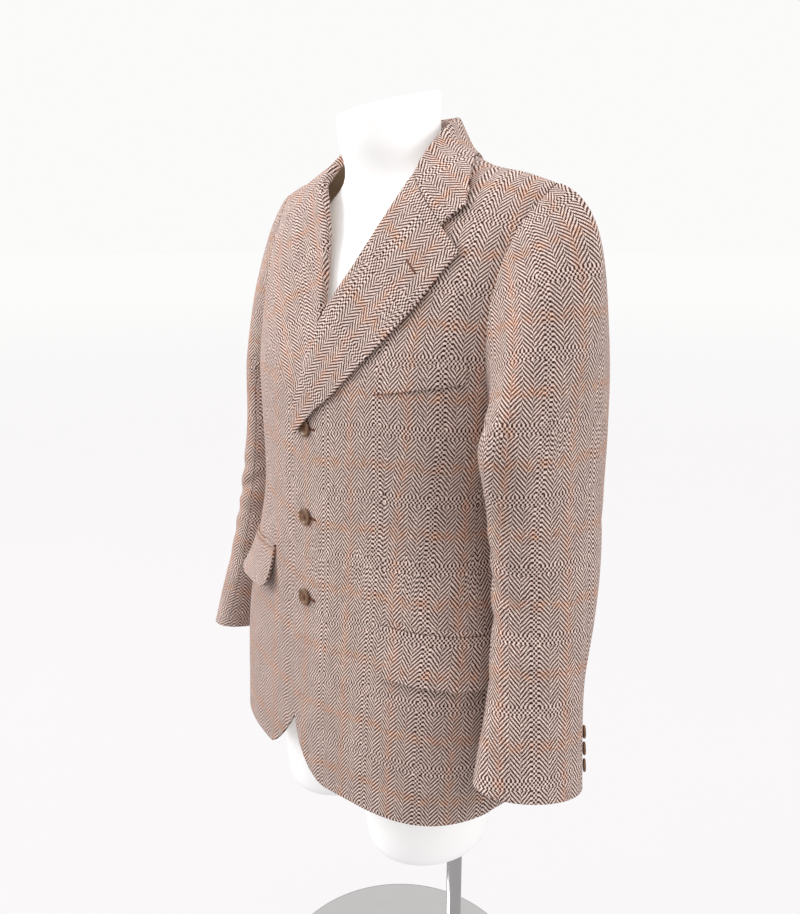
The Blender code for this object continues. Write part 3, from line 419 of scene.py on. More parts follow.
def horn_material():
    """Marbled brown horn with pale streaks, darker in its depth."""
    g = Graph("horn")
    at = g.place()
    warp = g.noise(at, 120.0, 3.0)
    swirl = g.noise(g.mix(0.5, at, g.vector(warp, warp, warp)), 160.0, 4.0, 0.65)
    colour = g.mix(g.remap(swirl, 0.42, 0.58), srgb(70, 42, 29), srgb(160, 120, 88))
    fine = g.noise(at, 900.0, 2.0)
    colour = g.mix(g.times(fine, 0.25), colour, srgb(44, 30, 24))
    g.bump(fine, 0.0001, 0.15)
    return g.finish(Base_Color=colour, Roughness=g.remap(swirl, 0.3, 0.7, 0.26, 0.42))


def thread_material():
    """Twisted buttonhole silk."""
    g = Graph("thread")
    at = g.place()
    fibre = g.noise(at, 2400.0, 2.0, 0.7)
    colour = g.mix(fibre, srgb(70, 38, 26), srgb(128, 76, 52))
    g.bump(fibre, 0.0002, 0.5)
    return g.finish(Base_Color=colour, Roughness=g.remap(fibre, 0.3, 0.7, 0.5, 0.75))


def form_material():
    """Satin white paint on a moulded shell, with a faint orange peel."""
    g = Graph("form_white")
    at = g.place()
    peel = g.noise(at, 260.0, 2.0)
    cloud = g.noise(at, 5.0, 2.0)
    colour = g.mix(g.remap(cloud, 0.3, 0.7), srgb(243, 242, 242), srgb(246, 245, 245))
    g.bump(peel, 0.0002, 0.06)
    return g.finish(
        Base_Color=colour, Roughness=g.remap(cloud, 0.3, 0.7, 0.40, 0.46),
        Emission_Color=WARM_WHITE, Emission_Strength=FORM_GLOW)


def chrome_material():
    """Bright plating with fine polishing marks."""
    g = Graph("chrome")
    at = g.place()
    marks = g.noise(at, 700.0, 3.0, 0.7)
    cloud = g.noise(at, 30.0, 2.0)
    colour = g.mix(cloud, srgb(203, 201, 201), srgb(209, 207, 207))
    g.bump(marks, 0.00005, 0.12)
    rough = g.remap(g.add(cloud, g.times(marks, 0.3)), 0.4, 0.9, 0.12, 0.17)
    return g.finish(Base_Color=colour, Metallic=1.0, Roughness=rough)


TWEED = tweed_material()
LINING = lining_material()
HORN = horn_material()
THREAD = thread_material()
FORM_WHITE = form_material()
CHROME = chrome_material()


# ---------------------------------------------------------------- making pieces
MERGE_GAP = 0.00005
EDGE_SHARE = 0.3  # how much of its wall a cloth edge is eased by


def mesh_of(drawn, name):
    """The mesh of a bmesh, which is then freed."""
    made = bpy.data.meshes.new(name)
    drawn.to_mesh(made)
    drawn.free()
    return made


def helper_object(name, mesh):
    made = bpy.data.objects.new(name, mesh)
    bpy.context.scene.collection.objects.link(made)
    return made


def taken(name, helpers, keep, *materials):
    """The evaluated mesh of one helper object, after which all the helpers are removed."""
    graph = bpy.context.evaluated_depsgraph_get()
    graph.update()
    made = bpy.data.meshes.new_from_object(keep.evaluated_get(graph))
    made.name = name
    for helper in helpers:
        bpy.data.objects.remove(helper, do_unlink=True)
    made.materials.clear()
    for material in materials:
        made.materials.append(material)
    return made


def turned(name, profile, radius, height, steps):
    """A helper object turned about its own Z from a profile of shares of (radius, height)."""
    line = bmesh.new()
    verts = [line.verts.new((radius * r, 0.0, height * h)) for r, h in profile]
    for first, second in zip(verts, verts[1:]):
        line.edges.new((first, second))
    body = helper_object(name, mesh_of(line, name))
    turn = body.modifiers.new("turned", "SCREW")
    turn.steps = turn.render_steps = steps
    turn.use_merge_vertices = True
    turn.merge_threshold = MERGE_GAP
    return body


def combine(body, other, operation):
    """Adds or cuts away another object, by operation UNION or DIFFERENCE."""
    join = body.modifiers.new(operation, "BOOLEAN")
    join.operation = operation
    join.object = other


def bevel(piece, width, segments, degrees):
    edge = piece.modifiers.new("edge", "BEVEL")
    edge.width = width
    edge.segments = segments
    edge.limit_method = "ANGLE"
    edge.angle_limit = math.radians(degrees)


def facing(way, place):
    """The matrix of a piece that stands at a place with its own Z along a unit vector."""
    side = unit(np.cross((0.0, 0.0, 1.0), way))
    axes = np.stack([side, np.cross(way, side), way, place], -1)
    return Matrix([*axes.tolist(), (0.0, 0.0, 0.0, 1.0)])


def put(piece, nodes):
    """Adds a piece that stands for CAD nodes to the scene and the body, and hides those nodes."""
    if not piece.users_collection:
        bpy.context.scene.collection.objects.link(piece)
    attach(piece, BODY)
    if nodes:
        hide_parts(*nodes)
    return piece


def unit(vectors):
    return vectors / np.linalg.norm(vectors, axis=-1, keepdims=True)


def smooth_step(value, low, high):
    t = np.clip((value - low) / (high - low), 0, 1)
    return t * t * (3 - 2 * t)


def grid_normals(points):
    return unit(np.cross(np.gradient(points, axis=1), np.gradient(points, axis=0)))


def raised(points, amount):
    """The grid moved along its own normals, inwards where the amount is negative."""
    return points + grid_normals(points) * np.asarray(amount)[..., None]


def sheet_area(points):
    """Area of a grid of points, as two triangles to a square."""
    a, b = points[:-1, :-1], points[:-1, 1:]
    c, d = points[1:, 1:], points[1:, :-1]
    first = np.linalg.norm(np.cross(b - a, c - a), axis=-1)
    second = np.linalg.norm(np.cross(c - a, d - a), axis=-1)
    return float((first.sum() + second.sum()) / 2)


CUTS = {}  # piece name: the piece, its cut's width and length, and its area


def cloth(node, points, weave, wall, side=1, offset=1.0, dart=None, lined=False):
    """A cloth piece in place of a CAD node: a grid worked out on the left, mirrored for side -1.
    weave counts yarns at each point. dart is a column and how many yarns it takes up in each
    row, so that the cloth's count jumps there."""
    placed = points * np.array([side, 1.0, 1.0])
    mesh = bmesh.new()
    layer = mesh.loops.layers.uv.new("weave")
    verts = [[mesh.verts.new(p) for p in row] for row in placed]
    rows, columns = points.shape[:2]
    for i in range(rows - 1):
        for j in range(columns - 1):
            spots = [(i, j), (i, j + 1), (i + 1, j + 1), (i + 1, j)][::side]
            face = mesh.faces.new([verts[a][b] for a, b in spots])
            face.smooth = True
            for loop, (a, b) in zip(face.loops, spots):
                across, up = weave[a, b]
                if dart and j >= dart[0]:
                    across += dart[1][a]
                loop[layer].uv = (across, up)
    made = mesh_of(mesh, f"{node}_cloth")
    made.materials.append(TWEED)
    made.materials.append(LINING)
    piece = bpy.data.objects.new(f"{node}_cloth", made)
    solid = piece.modifiers.new("wall", "SOLIDIFY")
    solid.thickness = wall
    solid.offset = offset
    solid.use_even_offset = True
    if lined:
        solid.material_offset = 1
    bevel(piece, wall * EDGE_SHARE, 3, 55)
    put(piece, [node])
    size = np.ptp(weave.reshape(-1, 2), axis=0) * (YARN_ACROSS, YARN_UP)
    if dart:
        size[0] += dart[1].max() * YARN_ACROSS
    area = min(sheet_area(points), float(size[0] * size[1]))
    CUTS[piece.name] = (piece, (float(size[0]), float(size[1])), area)
    return piece


# ---------------------------------------------------------------- the garment surface
def cubic(t, start, leave, end, arrive):
    """A cubic from start to end, with the slopes that it leaves and arrives with."""
    return (start * (1 + 2 * t) * (1 - t) ** 2 + leave * t * (1 - t) ** 2
            + end * t * t * (3 - 2 * t) + arrive * t * t * (t - 1))


def through(table, at, column):
    """Smooth monotone interpolation of one column of a table over its first column."""
    xs, ys = table[:, 0], table[:, column]
    at = np.asarray(at, float)
    step, slope = np.diff(xs), np.diff(ys) / np.diff(xs)
    tangent = np.concatenate([slope[:1], (slope[:-1] + slope[1:]) / 2, slope[-1:]])
    tangent[1:-1][slope[:-1] * slope[1:] <= 0] = 0.0
    k = np.clip(np.searchsorted(xs, at, side="right") - 1, 0, len(xs) - 2)
    t = np.clip((at - xs[k]) / step[k], 0, 1)
    return cubic(t, ys[k], tangent[k] * step[k], ys[k + 1], tangent[k + 1] * step[k])


def oval_depth(share, power):
    return (1 - np.clip(np.abs(share), 0, 1) ** power) ** (1 / power)


RING_COUNT = 480


def half_ring(z):
    """The left half ring at a height below the chest: distances from centre front, x and y."""
    width, front, back, front_power, back_power = [
        through(BODY_SECTIONS, z, i) for i in range(1, 6)]
    angle = np.linspace(0, math.pi, RING_COUNT)
    is_front = angle < math.pi / 2
    depth = np.where(is_front, front, back)
    power = np.where(is_front, front_power, back_power)
    sine, cosine = np.sin(angle), np.abs(np.cos(angle))
    radius = ((cosine / depth) ** power + (sine / width) ** power) ** (-1 / power)
    x, y = radius * sine, -radius * np.cos(angle)
    along = np.concatenate([[0], np.cumsum(np.hypot(np.diff(x), np.diff(y)))])
    return along, x, y


def ring_part(z, is_back=False):
    """The front or back half of a half ring, from the middle outwards."""
    part = slice(None, RING_COUNT // 2 - 1, -1) if is_back else slice(RING_COUNT // 2)
    return [values[part] for values in half_ring(z)]


def ring_length(z):
    """The way round the left half ring at a height."""
    return half_ring(z)[0][-1]


def low_points(z, along):
    """Points at height z below the chest, at distances from the centre front."""
    path, xs, ys = half_ring(z)
    along = np.asarray(along, float)
    reach = np.abs(along)
    x = np.interp(reach, path, xs) * np.sign(along + 1e-12)
    y = np.interp(reach, path, ys)
    return np.stack([x, y, np.full_like(x, z)], -1)


def shoulder_rise(depth):
    """Share of the way up from chest to shoulder line, at a depth share from 0 to 1."""
    return (1 - depth ** TOP_POWERS[0]) ** (1 / TOP_POWERS[1])


def top_points(x, depth):
    """Points above the chest. depth runs from -1 at the front of the chest, over 0 on the
    shoulder line, to 1 at the back of the chest."""
    x, depth = np.broadcast_arrays(np.asarray(x, float), np.asarray(depth, float))
    rise = shoulder_rise(np.abs(depth))
    ridge = through(SHOULDER_LINE, np.abs(x), 1)
    share = x / (CHEST_WIDTH + SHOULDER_GAIN * rise)
    chest = BODY_SECTIONS[-1]
    front = -chest[2] * oval_depth(share, chest[4])
    back = chest[3] * oval_depth(share, chest[5])
    reach = np.where(depth < 0, front, back) - RIDGE_Y
    return np.stack([x, RIDGE_Y + np.abs(depth) * reach, CHEST_Z + rise * (ridge - CHEST_Z)], -1)


def depth_at(x, z):
    """The depth share (0 to 1) at which the upper surface reaches height z."""
    rise = (z - CHEST_Z) / (through(SHOULDER_LINE, np.abs(x), 1) - CHEST_Z)
    return (1 - np.clip(rise, 0, 1) ** TOP_POWERS[1]) ** (1 / TOP_POWERS[0])


def front_point(x, z):
    """The garment surface's front at one place across and up."""
    if z > CHEST_Z:
        return top_points(x, -max(float(depth_at(x, z)), 1e-6))
    _, xs, ys = ring_part(z)
    return np.array([x, np.interp(abs(x), xs, ys), z])


def front_normal(x, z, step=SLOPE_STEP):
    up = front_point(x, z + step) - front_point(x, z - step)
    out = front_point(x + step, z) - front_point(x - step, z)
    normal = np.cross(out, up)
    return normal / np.linalg.norm(normal)


def shape_front(points, side_name):
    """Moves points of a front off the plain surface: the left front's lift over the right one,
    and the right front's set back along its roll line."""
    moved = points.copy()
    x, z = points[..., 0], points[..., 2]
    if side_name == "left":
        moved[..., 1] -= OVERLAP_LIFT * (1 - smooth_step(x, *OVERLAP_FADE))
    roll = ROLL[side_name]
    by_height = roll[:, [1, 0, 2]]
    off = (x - through(by_height, z, 1)) / SET_BACK_REACH
    moved[..., 1] += through(by_height, z, 2) * np.exp(-off * off) * (z > roll[0, 1])
    return moved


def place_on_front(side_name, x, z, lift):
    """A point on a front, at a lift along the surface's normal."""
    return shape_front(front_point(x, z) + front_normal(x, z) * lift, side_name)


# ---------------------------------------------------------------- counting yarns
def count_yarns(across, up):
    """Yarn counts from distances to the middle of a dotted line and of a dotted band."""
    return np.stack([across / YARN_ACROSS + DOTTED / 2, up / YARN_UP + DOTTED / 2], -1)


def front_rise(along):
    """How much lower a dotted band hangs, the nearer it comes to the centre front."""
    return FRONT_DROP * (1 - smooth_step(along, 0.0, DROP_REACH))


def low_weave(along, z, line=LINE_ALONG):
    rise = front_rise(along) if line == LINE_ALONG else 0.0
    return count_yarns(along - line, z + rise - BAND_Z)


def rise_length(x, depth, steps=24):
    """Distance up the upper garment surface from the chest, at one place across."""
    share = np.linspace(0, 1, steps)
    depth = np.asarray(depth, float)[..., None]
    path = np.where(depth < 0, -1.0, 1.0) * (1 - share * (1 - np.abs(depth)))
    points = top_points(np.asarray(x, float)[..., None], path)
    return np.linalg.norm(np.diff(points, axis=-2), axis=-1).sum(axis=-1)


def high_weave(x, depth, line=LINE_ALONG):
    """Yarn counts of one row above the chest. The lines run straight up from where they cross
    it, and on either side of HELD_ACROSS the yarns are counted along the row itself."""
    depth = np.broadcast_to(np.asarray(depth, float), x.shape)
    is_back = depth.flat[0] >= 0
    path, xs, _ = ring_part(CHEST_Z, is_back)
    path = ring_length(CHEST_Z) - path if is_back else path
    row = top_points(x, depth)
    steps = np.linalg.norm(np.diff(row, axis=0), axis=-1) * np.sign(np.diff(x))
    arc = np.concatenate([[0.0], steps.cumsum()])
    held = np.argmin(np.abs(x - HELD_ACROSS))
    along = np.interp(x[held], xs, path) + arc - arc[held]
    rise = front_rise(along) if line == LINE_ALONG else 0.0
    length = rise_length(np.minimum(np.abs(x), BAND_ACROSS), depth)
    return count_yarns(along - line, CHEST_Z + rise - BAND_Z + length)


# ---------------------------------------------------------------- body panels
LOW_ROWS = 76
TOP_ROWS = 44
FRONT_COLUMNS = 58
SIDE_COLUMNS = 22
BACK_COLUMNS = 44
ROW_POWER = 0.9  # spreads the rows between chest and shoulder line
HEM_CLOSE = 0.25  # how much closer the rows lie near the hem
NUDGE = 1e-9  # tells the front from the back on the shoulder line itself
ROLL_CLEAR = 0.005  # height over the chest from which the roll line shapes the edge
DART_SHARE = 0.575  # how far across a front its dart lies
DART_BESIDE = (0.003, 0.006, 0.011)  # shares from the dart to the columns beside it
DART_TAKES = 0.010
DART_RISE = (0.585, 0.690)  # heights between which the dart opens, and then closes
DART_FALL = (0.765, 0.845)
GROOVE_DEPTH = 0.0009
GROOVE_WIDTH = 0.0016
FRONT_WAVES = 0.0011  # how uneven pressed cloth is, in height
BACK_WAVES = 0.0013
SLEEVE_WAVES = 0.0015
WAVE_COUNT = 7
WAVE_LENGTHS = (0.07, 0.19)
WAVE_UPRIGHT = 0.55  # how much less the waves run up and down than across


def soft_waves(points, size, seed):
    """A slight unevenness, as pressed cloth has: heights for a grid of points."""
    random = np.random.default_rng(seed)
    total = np.zeros(points.shape[:-1])
    for _ in range(WAVE_COUNT):
        direction = unit(random.normal(size=3) * np.array([1.0, 1.0, WAVE_UPRIGHT]))
        wave = random.uniform(*WAVE_LENGTHS)
        phase = random.uniform(0, 2 * math.pi)
        total += np.sin(points @ direction * 2 * math.pi / wave + phase)
    return total * size / WAVE_COUNT


def seam_share(across, is_back):
    """How far round the half ring a seam lies, from its place across at the chest."""
    path, xs, _ = ring_part(CHEST_Z, is_back)
    return np.interp(across, xs, path) / ring_length(CHEST_Z)


FRONT_SEAM = seam_share(ARMHOLE_FRONT[0, 1], False)
BACK_SEAM = seam_share(ARMHOLE_BACK[0, 1], True)


def hem_lift(share, z):
    """How far the hem's rise lifts a point, fading out well above the hem."""
    lift = through(HEM_LINE, np.abs(share), 1) - HEM_Z
    return lift * (1 - smooth_step(z, HEM_Z, HEM_FADE_Z))


# start height of the curved front corner, its width, its roundness power
CORNERS = {"left": (0.502, 0.066, 2.0), "right": (0.565, 0.098, 1.25)}


def front_edge(side_name, z):
    """Across of a front's inner edge below the chest: hem corner, straight edge, roll line."""
    start, width, power = CORNERS[side_name]
    if z < start:
        drop = min((start - z) / (start - HEM_Z), 1.0)
        return -OVERLAP + width * (1 - (1 - drop**power) ** (1 / power))
    roll = ROLL[side_name]
    if z > roll[0, 1]:
        return float(through(roll[:, [1, 0]], z, 1)) + ROLL_GAP
    return -OVERLAP


def low_heights(count):
    """Heights from hem to chest, closer together near the hem's rounded corner."""
    share = np.linspace(0, 1, count)
    closing = HEM_CLOSE * share**2 + (1 - HEM_CLOSE) * share**1.25
    return HEM_Z + (CHEST_Z - HEM_Z) * closing


def front_shares():
    """Shares across a front, closer together on both sides of its dart."""
    even = np.linspace(0, 1, FRONT_COLUMNS + 1)
    dart = np.argmin(np.abs(even - DART_SHARE))
    even[dart] = DART_SHARE
    beside = [DART_SHARE + way * off for off in DART_BESIDE for way in (-1, 1)]
    shares = np.sort(np.concatenate([even, beside]))
    return shares, int(np.argmin(np.abs(shares - DART_SHARE)))


def low_row(z, along):
    """Points of a panel at one height below the chest, raised as the hem is."""
    row = low_points(z, along)
    row[..., 2] += hem_lift(along / ring_length(z), z)
    return row


def dart_open(z):
    """How far open a front's dart is at a height, from 0 to 1."""
    return smooth_step(z, *DART_RISE) * (1 - smooth_step(z, *DART_FALL))


def top_depths():
    """Depth shares of a panel's rows above the chest, the last of them on the shoulder line."""
    return [math.cos(t * math.pi / 2) ** ROW_POWER for t in np.linspace(0, 1, TOP_ROWS + 1)[1:]]


def front_panel(side_name):
    """The points of a front, their yarn counts, and its dart."""
    rows, weave, groove = [], [], []
    share, dart = front_shares()
    for z in low_heights(LOW_ROWS + 1):
        length = ring_length(z)
        inner = front_edge(side_name, z)
        along = inner + (FRONT_SEAM * length - SEAM_GAP / 2 - inner) * share
        rows.append(low_row(z, along))
        weave.append(low_weave(along, rows[-1][:, 2]))
        off = (along - along[dart]) / GROOVE_WIDTH
        groove.append(-GROOVE_DEPTH * np.exp(-off * off) * dart_open(z))
    chest_x = rows[-1][:, 0]
    column = (chest_x - chest_x[0]) / (chest_x[-1] - chest_x[0])
    roll = ROLL[side_name]
    roll_depth = depth_at(roll[:, 0], roll[:, 1])
    above = roll[:, 1] > CHEST_Z + ROLL_CLEAR
    depths = np.concatenate([[0.0], roll_depth[above][::-1], [1.0]])
    inner_x = np.concatenate([[NECK_ACROSS], roll[above, 0][::-1] + ROLL_GAP, [chest_x[0]]])
    inner_table = np.stack([depths, inner_x], -1)
    for depth in top_depths():
        outer = float(through(ARMHOLE_FRONT, shoulder_rise(depth), 1)) - SEAM_GAP / 2
        inner = float(np.interp(depth, inner_table[:, 0], inner_table[:, 1]))
        x = inner + (outer - inner) * column
        rows.append(top_points(x, -depth))
        weave.append(high_weave(x, -depth - NUDGE))
        groove.append(np.zeros(len(share)))
    rows[-1][:, 1] -= SEAM_GAP / 2
    rows = np.array(rows)
    rows = raised(rows, np.array(groove) + soft_waves(rows, FRONT_WAVES, 3))
    takes = dart_open(rows[:, dart, 2]) * DART_TAKES / YARN_ACROSS
    return shape_front(rows, side_name), np.array(weave), (dart, takes)


def side_panel():
    """The points of a side body, column by column under the armhole's pit, and yarn counts."""
    points, weave = [], []
    for share in np.linspace(0, 1, SIDE_COLUMNS + 1):
        top = CHEST_Z - PIT_DROP * math.sin(math.pi * share)
        stretch = (top - HEM_Z) / (CHEST_Z - HEM_Z)
        column, counts = [], []
        for z in low_heights(LOW_ROWS + 1):
            z = HEM_Z + (z - HEM_Z) * stretch
            length = ring_length(z)
            start, end = FRONT_SEAM * length + SEAM_GAP / 2, BACK_SEAM * length - SEAM_GAP / 2
            along = start + (end - start) * share
            point = low_row(z, along)
            column.append(point)
            counts.append(low_weave(along - (start + end) / 2, point[2], SIDE_LINE))
        points.append(column)
        weave.append(counts)
    return np.array(points).transpose(1, 0, 2), np.array(weave).transpose(1, 0, 2)


def back_panel():
    """The points of a back and their yarn counts."""
    rows, weave = [], []
    share = np.linspace(0, 1, BACK_COLUMNS + 1)
    for z in low_heights(LOW_ROWS + 1):
        length = ring_length(z)
        start, end = BACK_SEAM * length + SEAM_GAP / 2, length - SEAM_GAP / 2
        along = start + (end - start) * share
        rows.append(low_row(z, along))
        weave.append(low_weave(length - along, rows[-1][:, 2], BACK_LINE))
    column = rows[-1][:, 0] / rows[-1][0, 0]
    neck_share = NECK_ACROSS / ARMHOLE_BACK[-1, 1]
    neck = NECK_BACK_DEPTH * np.sqrt(np.clip(1 - (column / neck_share) ** 2, 0, 1))
    for plain_depth in top_depths():
        depth = neck + (1 - neck) * plain_depth
        outer = through(ARMHOLE_BACK, shoulder_rise(depth), 1) - SEAM_GAP / 2
        x = np.maximum(column * outer, SEAM_GAP / 2)
        rows.append(top_points(x, depth))
        weave.append(high_weave(x, depth + NUDGE, BACK_LINE))
    rows[-1][:, 1] += SEAM_GAP / 2
    rows = np.array(rows)
    return raised(rows, soft_waves(rows, BACK_WAVES, 8)), np.array(weave)


def build_body():
    for side_name, side in SIDES:
        points, weave, dart = front_panel(side_name)
        cloth(f"front_{side_name}", points, weave, FRONT_WALL, side, dart=dart, lined=True)
        points, weave = side_panel()
        cloth(f"side_{side_name}", points, weave, CLOTH_WALL, side, lined=True)
        points, weave = back_panel()
        cloth(f"back_{side_name}", points, weave, CLOTH_WALL, side, lined=True)


# ---------------------------------------------------------------- sleeves
def armhole_loop(count):
    """The armhole's edge as a ring of points: outer top, down the front, pit, up the back."""
    quarter = count // 4
    points = []
    for t in np.linspace(0, 1, quarter + 1)[:-1]:
        depth = math.sin(t * math.pi / 2) ** ROW_POWER
        points.append(top_points(through(ARMHOLE_FRONT, shoulder_rise(depth), 1), -depth))
    for t in np.linspace(0, 1, 2 * quarter + 1)[:-1]:
        z = CHEST_Z - PIT_DROP * math.sin(math.pi * t)
        share = FRONT_SEAM + (BACK_SEAM - FRONT_SEAM) * t
        points.append(low_points(z, share * ring_length(z)))
    for t in np.linspace(0, 1, quarter + 1)[:-1]:
        depth = max(math.cos(t * math.pi / 2) ** ROW_POWER, 1e-6)
        points.append(top_points(through(ARMHOLE_BACK, shoulder_rise(depth), 1), depth))
    return np.array(points)


def sleeve_row(side_name, z):
    """The numbers of a sleeve's ring at one height."""
    rings = SLEEVE_RINGS[side_name]
    table = np.column_stack([-rings[:, 2], rings])
    return [float(through(table, -z, i)) for i in range(1, table.shape[1])]


def sleeve_ring(row, count):
    """One ring of the sleeve, in the same order round as the armhole's loop."""
    cx, cy, cz, half_x, half_y, turn, front_up = row
    angle = 2 * math.pi * np.arange(count) / count
    x, y = half_x * np.cos(angle), -half_y * np.sin(angle)
    c, s = math.cos(math.radians(turn)), math.sin(math.radians(turn))
    return np.stack([cx + x * c + y * s, cy + y * c - x * s, cz + front_up * np.sin(angle)], -1)


SLEEVE_COUNT = 120
CAP_ROWS = 32
ARM_ROWS = 84
CAP_FALL = 0.25  # how steeply the cap sets out downwards at its top
CAP_EASE = 0.08  # share by which the cap's cloth is eased in
CAP_EASE_REACH = 0.12
CAP_OUT = 0.0014
CAP_REACH = {"left": 0.135, "right": 0.065}  # how far the cap sets out at its top
CAP_SIDE_REACH = 0.048
CAP_PIT_REACH = 0.020
CAP_SWELL = (0.027, 0.020)  # how far it sets out forwards at its front and backwards at its back
# height, share round the sleeve, depth, slant: soft creases round the bend of the elbow
ELBOW_CREASES = (
    (0.735, 0.27, 0.0022, 0.10), (0.700, 0.24, 0.0030, 0.16), (0.668, 0.26, 0.0028, 0.05),
    (0.640, 0.22, 0.0018, 0.20), (0.770, 0.74, 0.0012, -0.10), (0.600, 0.28, 0.0014, 0.08),
)
# where each upper arm swells forwards: height, depth, spread
FULLNESS = {"left": (0.875, 0.011, 0.055), "right": (0.875, 0.002, 0.055)}
CREASE_HEIGHT = 0.0095
CREASE_SPREAD = 0.15
CREASE_LIP = (0.45, 1.7, 1.3)  # the lip over a crease: share of its depth, place, spread
BICEP_ROWS = 9  # how many rows either side of the cap's foot are eased, and how many times
BICEP_TIMES = 40
FIT_ROWS = 40  # below the cap, where the flattened sleeve is fitted to its guide


def sleeve_points(side_name, count):
    """Rows of rings from the armhole down to the cuff."""
    rings = SLEEVE_RINGS[side_name]
    root = armhole_loop(count)
    root[:, 0] += CAP_OUT
    turn = 2 * math.pi * np.arange(count) / count
    bicep = sleeve_ring(rings[0], count)
    top = np.clip(np.cos(turn), 0, 1)
    pit = np.clip(-np.cos(turn), 0, 1)
    reach = CAP_REACH[side_name] * top + CAP_PIT_REACH * pit + CAP_SIDE_REACH * (1 - top - pit)
    swell = -np.sin(turn) * np.where(np.sin(turn) > 0, *CAP_SWELL)
    leave = np.stack([reach, swell, -CAP_FALL * reach * top], -1)
    fall = np.linalg.norm(bicep - root, axis=1)
    arrive = np.stack([np.zeros(count), np.zeros(count), -fall], -1)
    rows = []
    for t in np.linspace(0, 1, CAP_ROWS + 1):
        rows.append(cubic(t, root, leave * 2, bicep, arrive))
    for z in np.linspace(rings[0, 2], rings[-1, 2], ARM_ROWS + 1)[1:]:
        rows.append(sleeve_ring(sleeve_row(side_name, z), count))
    rows = eased(np.array(rows), CAP_ROWS - BICEP_ROWS, CAP_ROWS + BICEP_ROWS, BICEP_TIMES)
    height, most, spread = FULLNESS[side_name]
    full = np.exp(-(((rows[..., 2] - height) / spread) ** 2)) * np.clip(np.sin(turn), 0, 1)
    full *= smooth_step(np.arange(len(rows)), 0, CAP_ROWS // 3)[:, None]
    rows[..., 1] -= most * full
    return rows


def eased(rows, first, last, times):
    """Rows of points, with those from first to last made to follow on more smoothly."""
    rows = rows.copy()
    for _ in range(times):
        before, after = rows[first - 1 : last - 1], rows[first + 1 : last + 1]
        rows[first:last] = (before + 2 * rows[first:last] + after) / 4
    return rows


def crease_depths(points):
    """How far soft creases sink each point of a sleeve's rings."""
    count = points.shape[1]
    share = np.arange(count) / count
    sunk = np.zeros(points.shape[:2])
    much, over, spread = CREASE_LIP
    for height, middle, depth, slant in ELBOW_CREASES:
        round_by = (share - middle + 0.5) % 1 - 0.5
        line = height + slant * round_by
        off = (points[..., 2] - line) / CREASE_HEIGHT
        side_fade = np.exp(-((round_by / CREASE_SPREAD) ** 2))
        lip = much * np.exp(-((off - over) / spread) ** 2)
        sunk -= depth * side_fade * (np.exp(-off * off) - lip)
    return sunk


def flattened(points, guide, rows):
    """Distances across and up a curved grid laid flat with the least stretch, then turned and
    slid to fit those of a guide over some of its rows."""
    count = points.shape[:2]
    index = np.arange(count[0] * count[1]).reshape(count)
    quads = np.stack([index[:-1, :-1], index[:-1, 1:], index[1:, 1:], index[1:, :-1]], -1)
    mesh = bpy.data.meshes.new("to_flatten")
    mesh.from_pydata(points.reshape(-1, 3).tolist(), [], quads.reshape(-1, 4).tolist())
    mesh.uv_layers.new(name="flat")
    piece = helper_object("to_flatten", mesh)
    bpy.context.view_layer.objects.active = piece
    piece.select_set(True)
    bpy.ops.object.mode_set(mode="EDIT")
    bpy.ops.mesh.select_all(action="SELECT")
    bpy.ops.uv.unwrap(method="MINIMUM_STRETCH", iterations=20, margin=0.0)
    bpy.ops.object.mode_set(mode="OBJECT")
    corners = np.empty(len(mesh.loops) * 2)
    mesh.uv_layers["flat"].data.foreach_get("uv", corners)
    owners = np.empty(len(mesh.loops), int)
    mesh.loops.foreach_get("vertex_index", owners)
    flat = np.empty((index.size, 2))
    flat[owners] = corners.reshape(-1, 2)
    bpy.data.objects.remove(piece, do_unlink=True)
    flat = flat.reshape(*count, 2)
    have, want = flat[rows].reshape(-1, 2), guide[rows].reshape(-1, 2)
    middle, target = have.mean(axis=0), want.mean(axis=0)
    left, sizes, right = np.linalg.svd((have - middle).T @ (want - target))
    scale = sizes.sum() / ((have - middle) ** 2).sum()
    return (flat - middle) @ (left @ right) * scale + target


def eased_cap(flat):
    """A flattened sleeve's distances with the cap's yarns closer, as its cloth is eased in."""
    over = np.maximum(flat[..., 1], 0.0)
    across = flat[..., 0] * (1 + CAP_EASE * smooth_step(over, 0.0, CAP_EASE_REACH))
    return np.stack([across, flat[..., 1] + CAP_EASE * over], -1)


def sleeve_guide(rows, start):
    """Distances round a sleeve from one of its columns, and up from its straight part."""
    steps = np.linalg.norm(np.diff(rows, axis=1), axis=-1)
    around = np.concatenate([np.zeros((len(rows), 1)), steps.cumsum(axis=1)], axis=1)
    around -= around[:, start : start + 1]
    fall = np.linalg.norm(np.diff(rows, axis=0), axis=-1).mean(axis=1)
    fall = np.concatenate([[0.0], fall.cumsum()])
    up = (fall[CAP_ROWS] - fall)[:, None] + np.zeros(around.shape)
    return np.stack([around, up], -1)


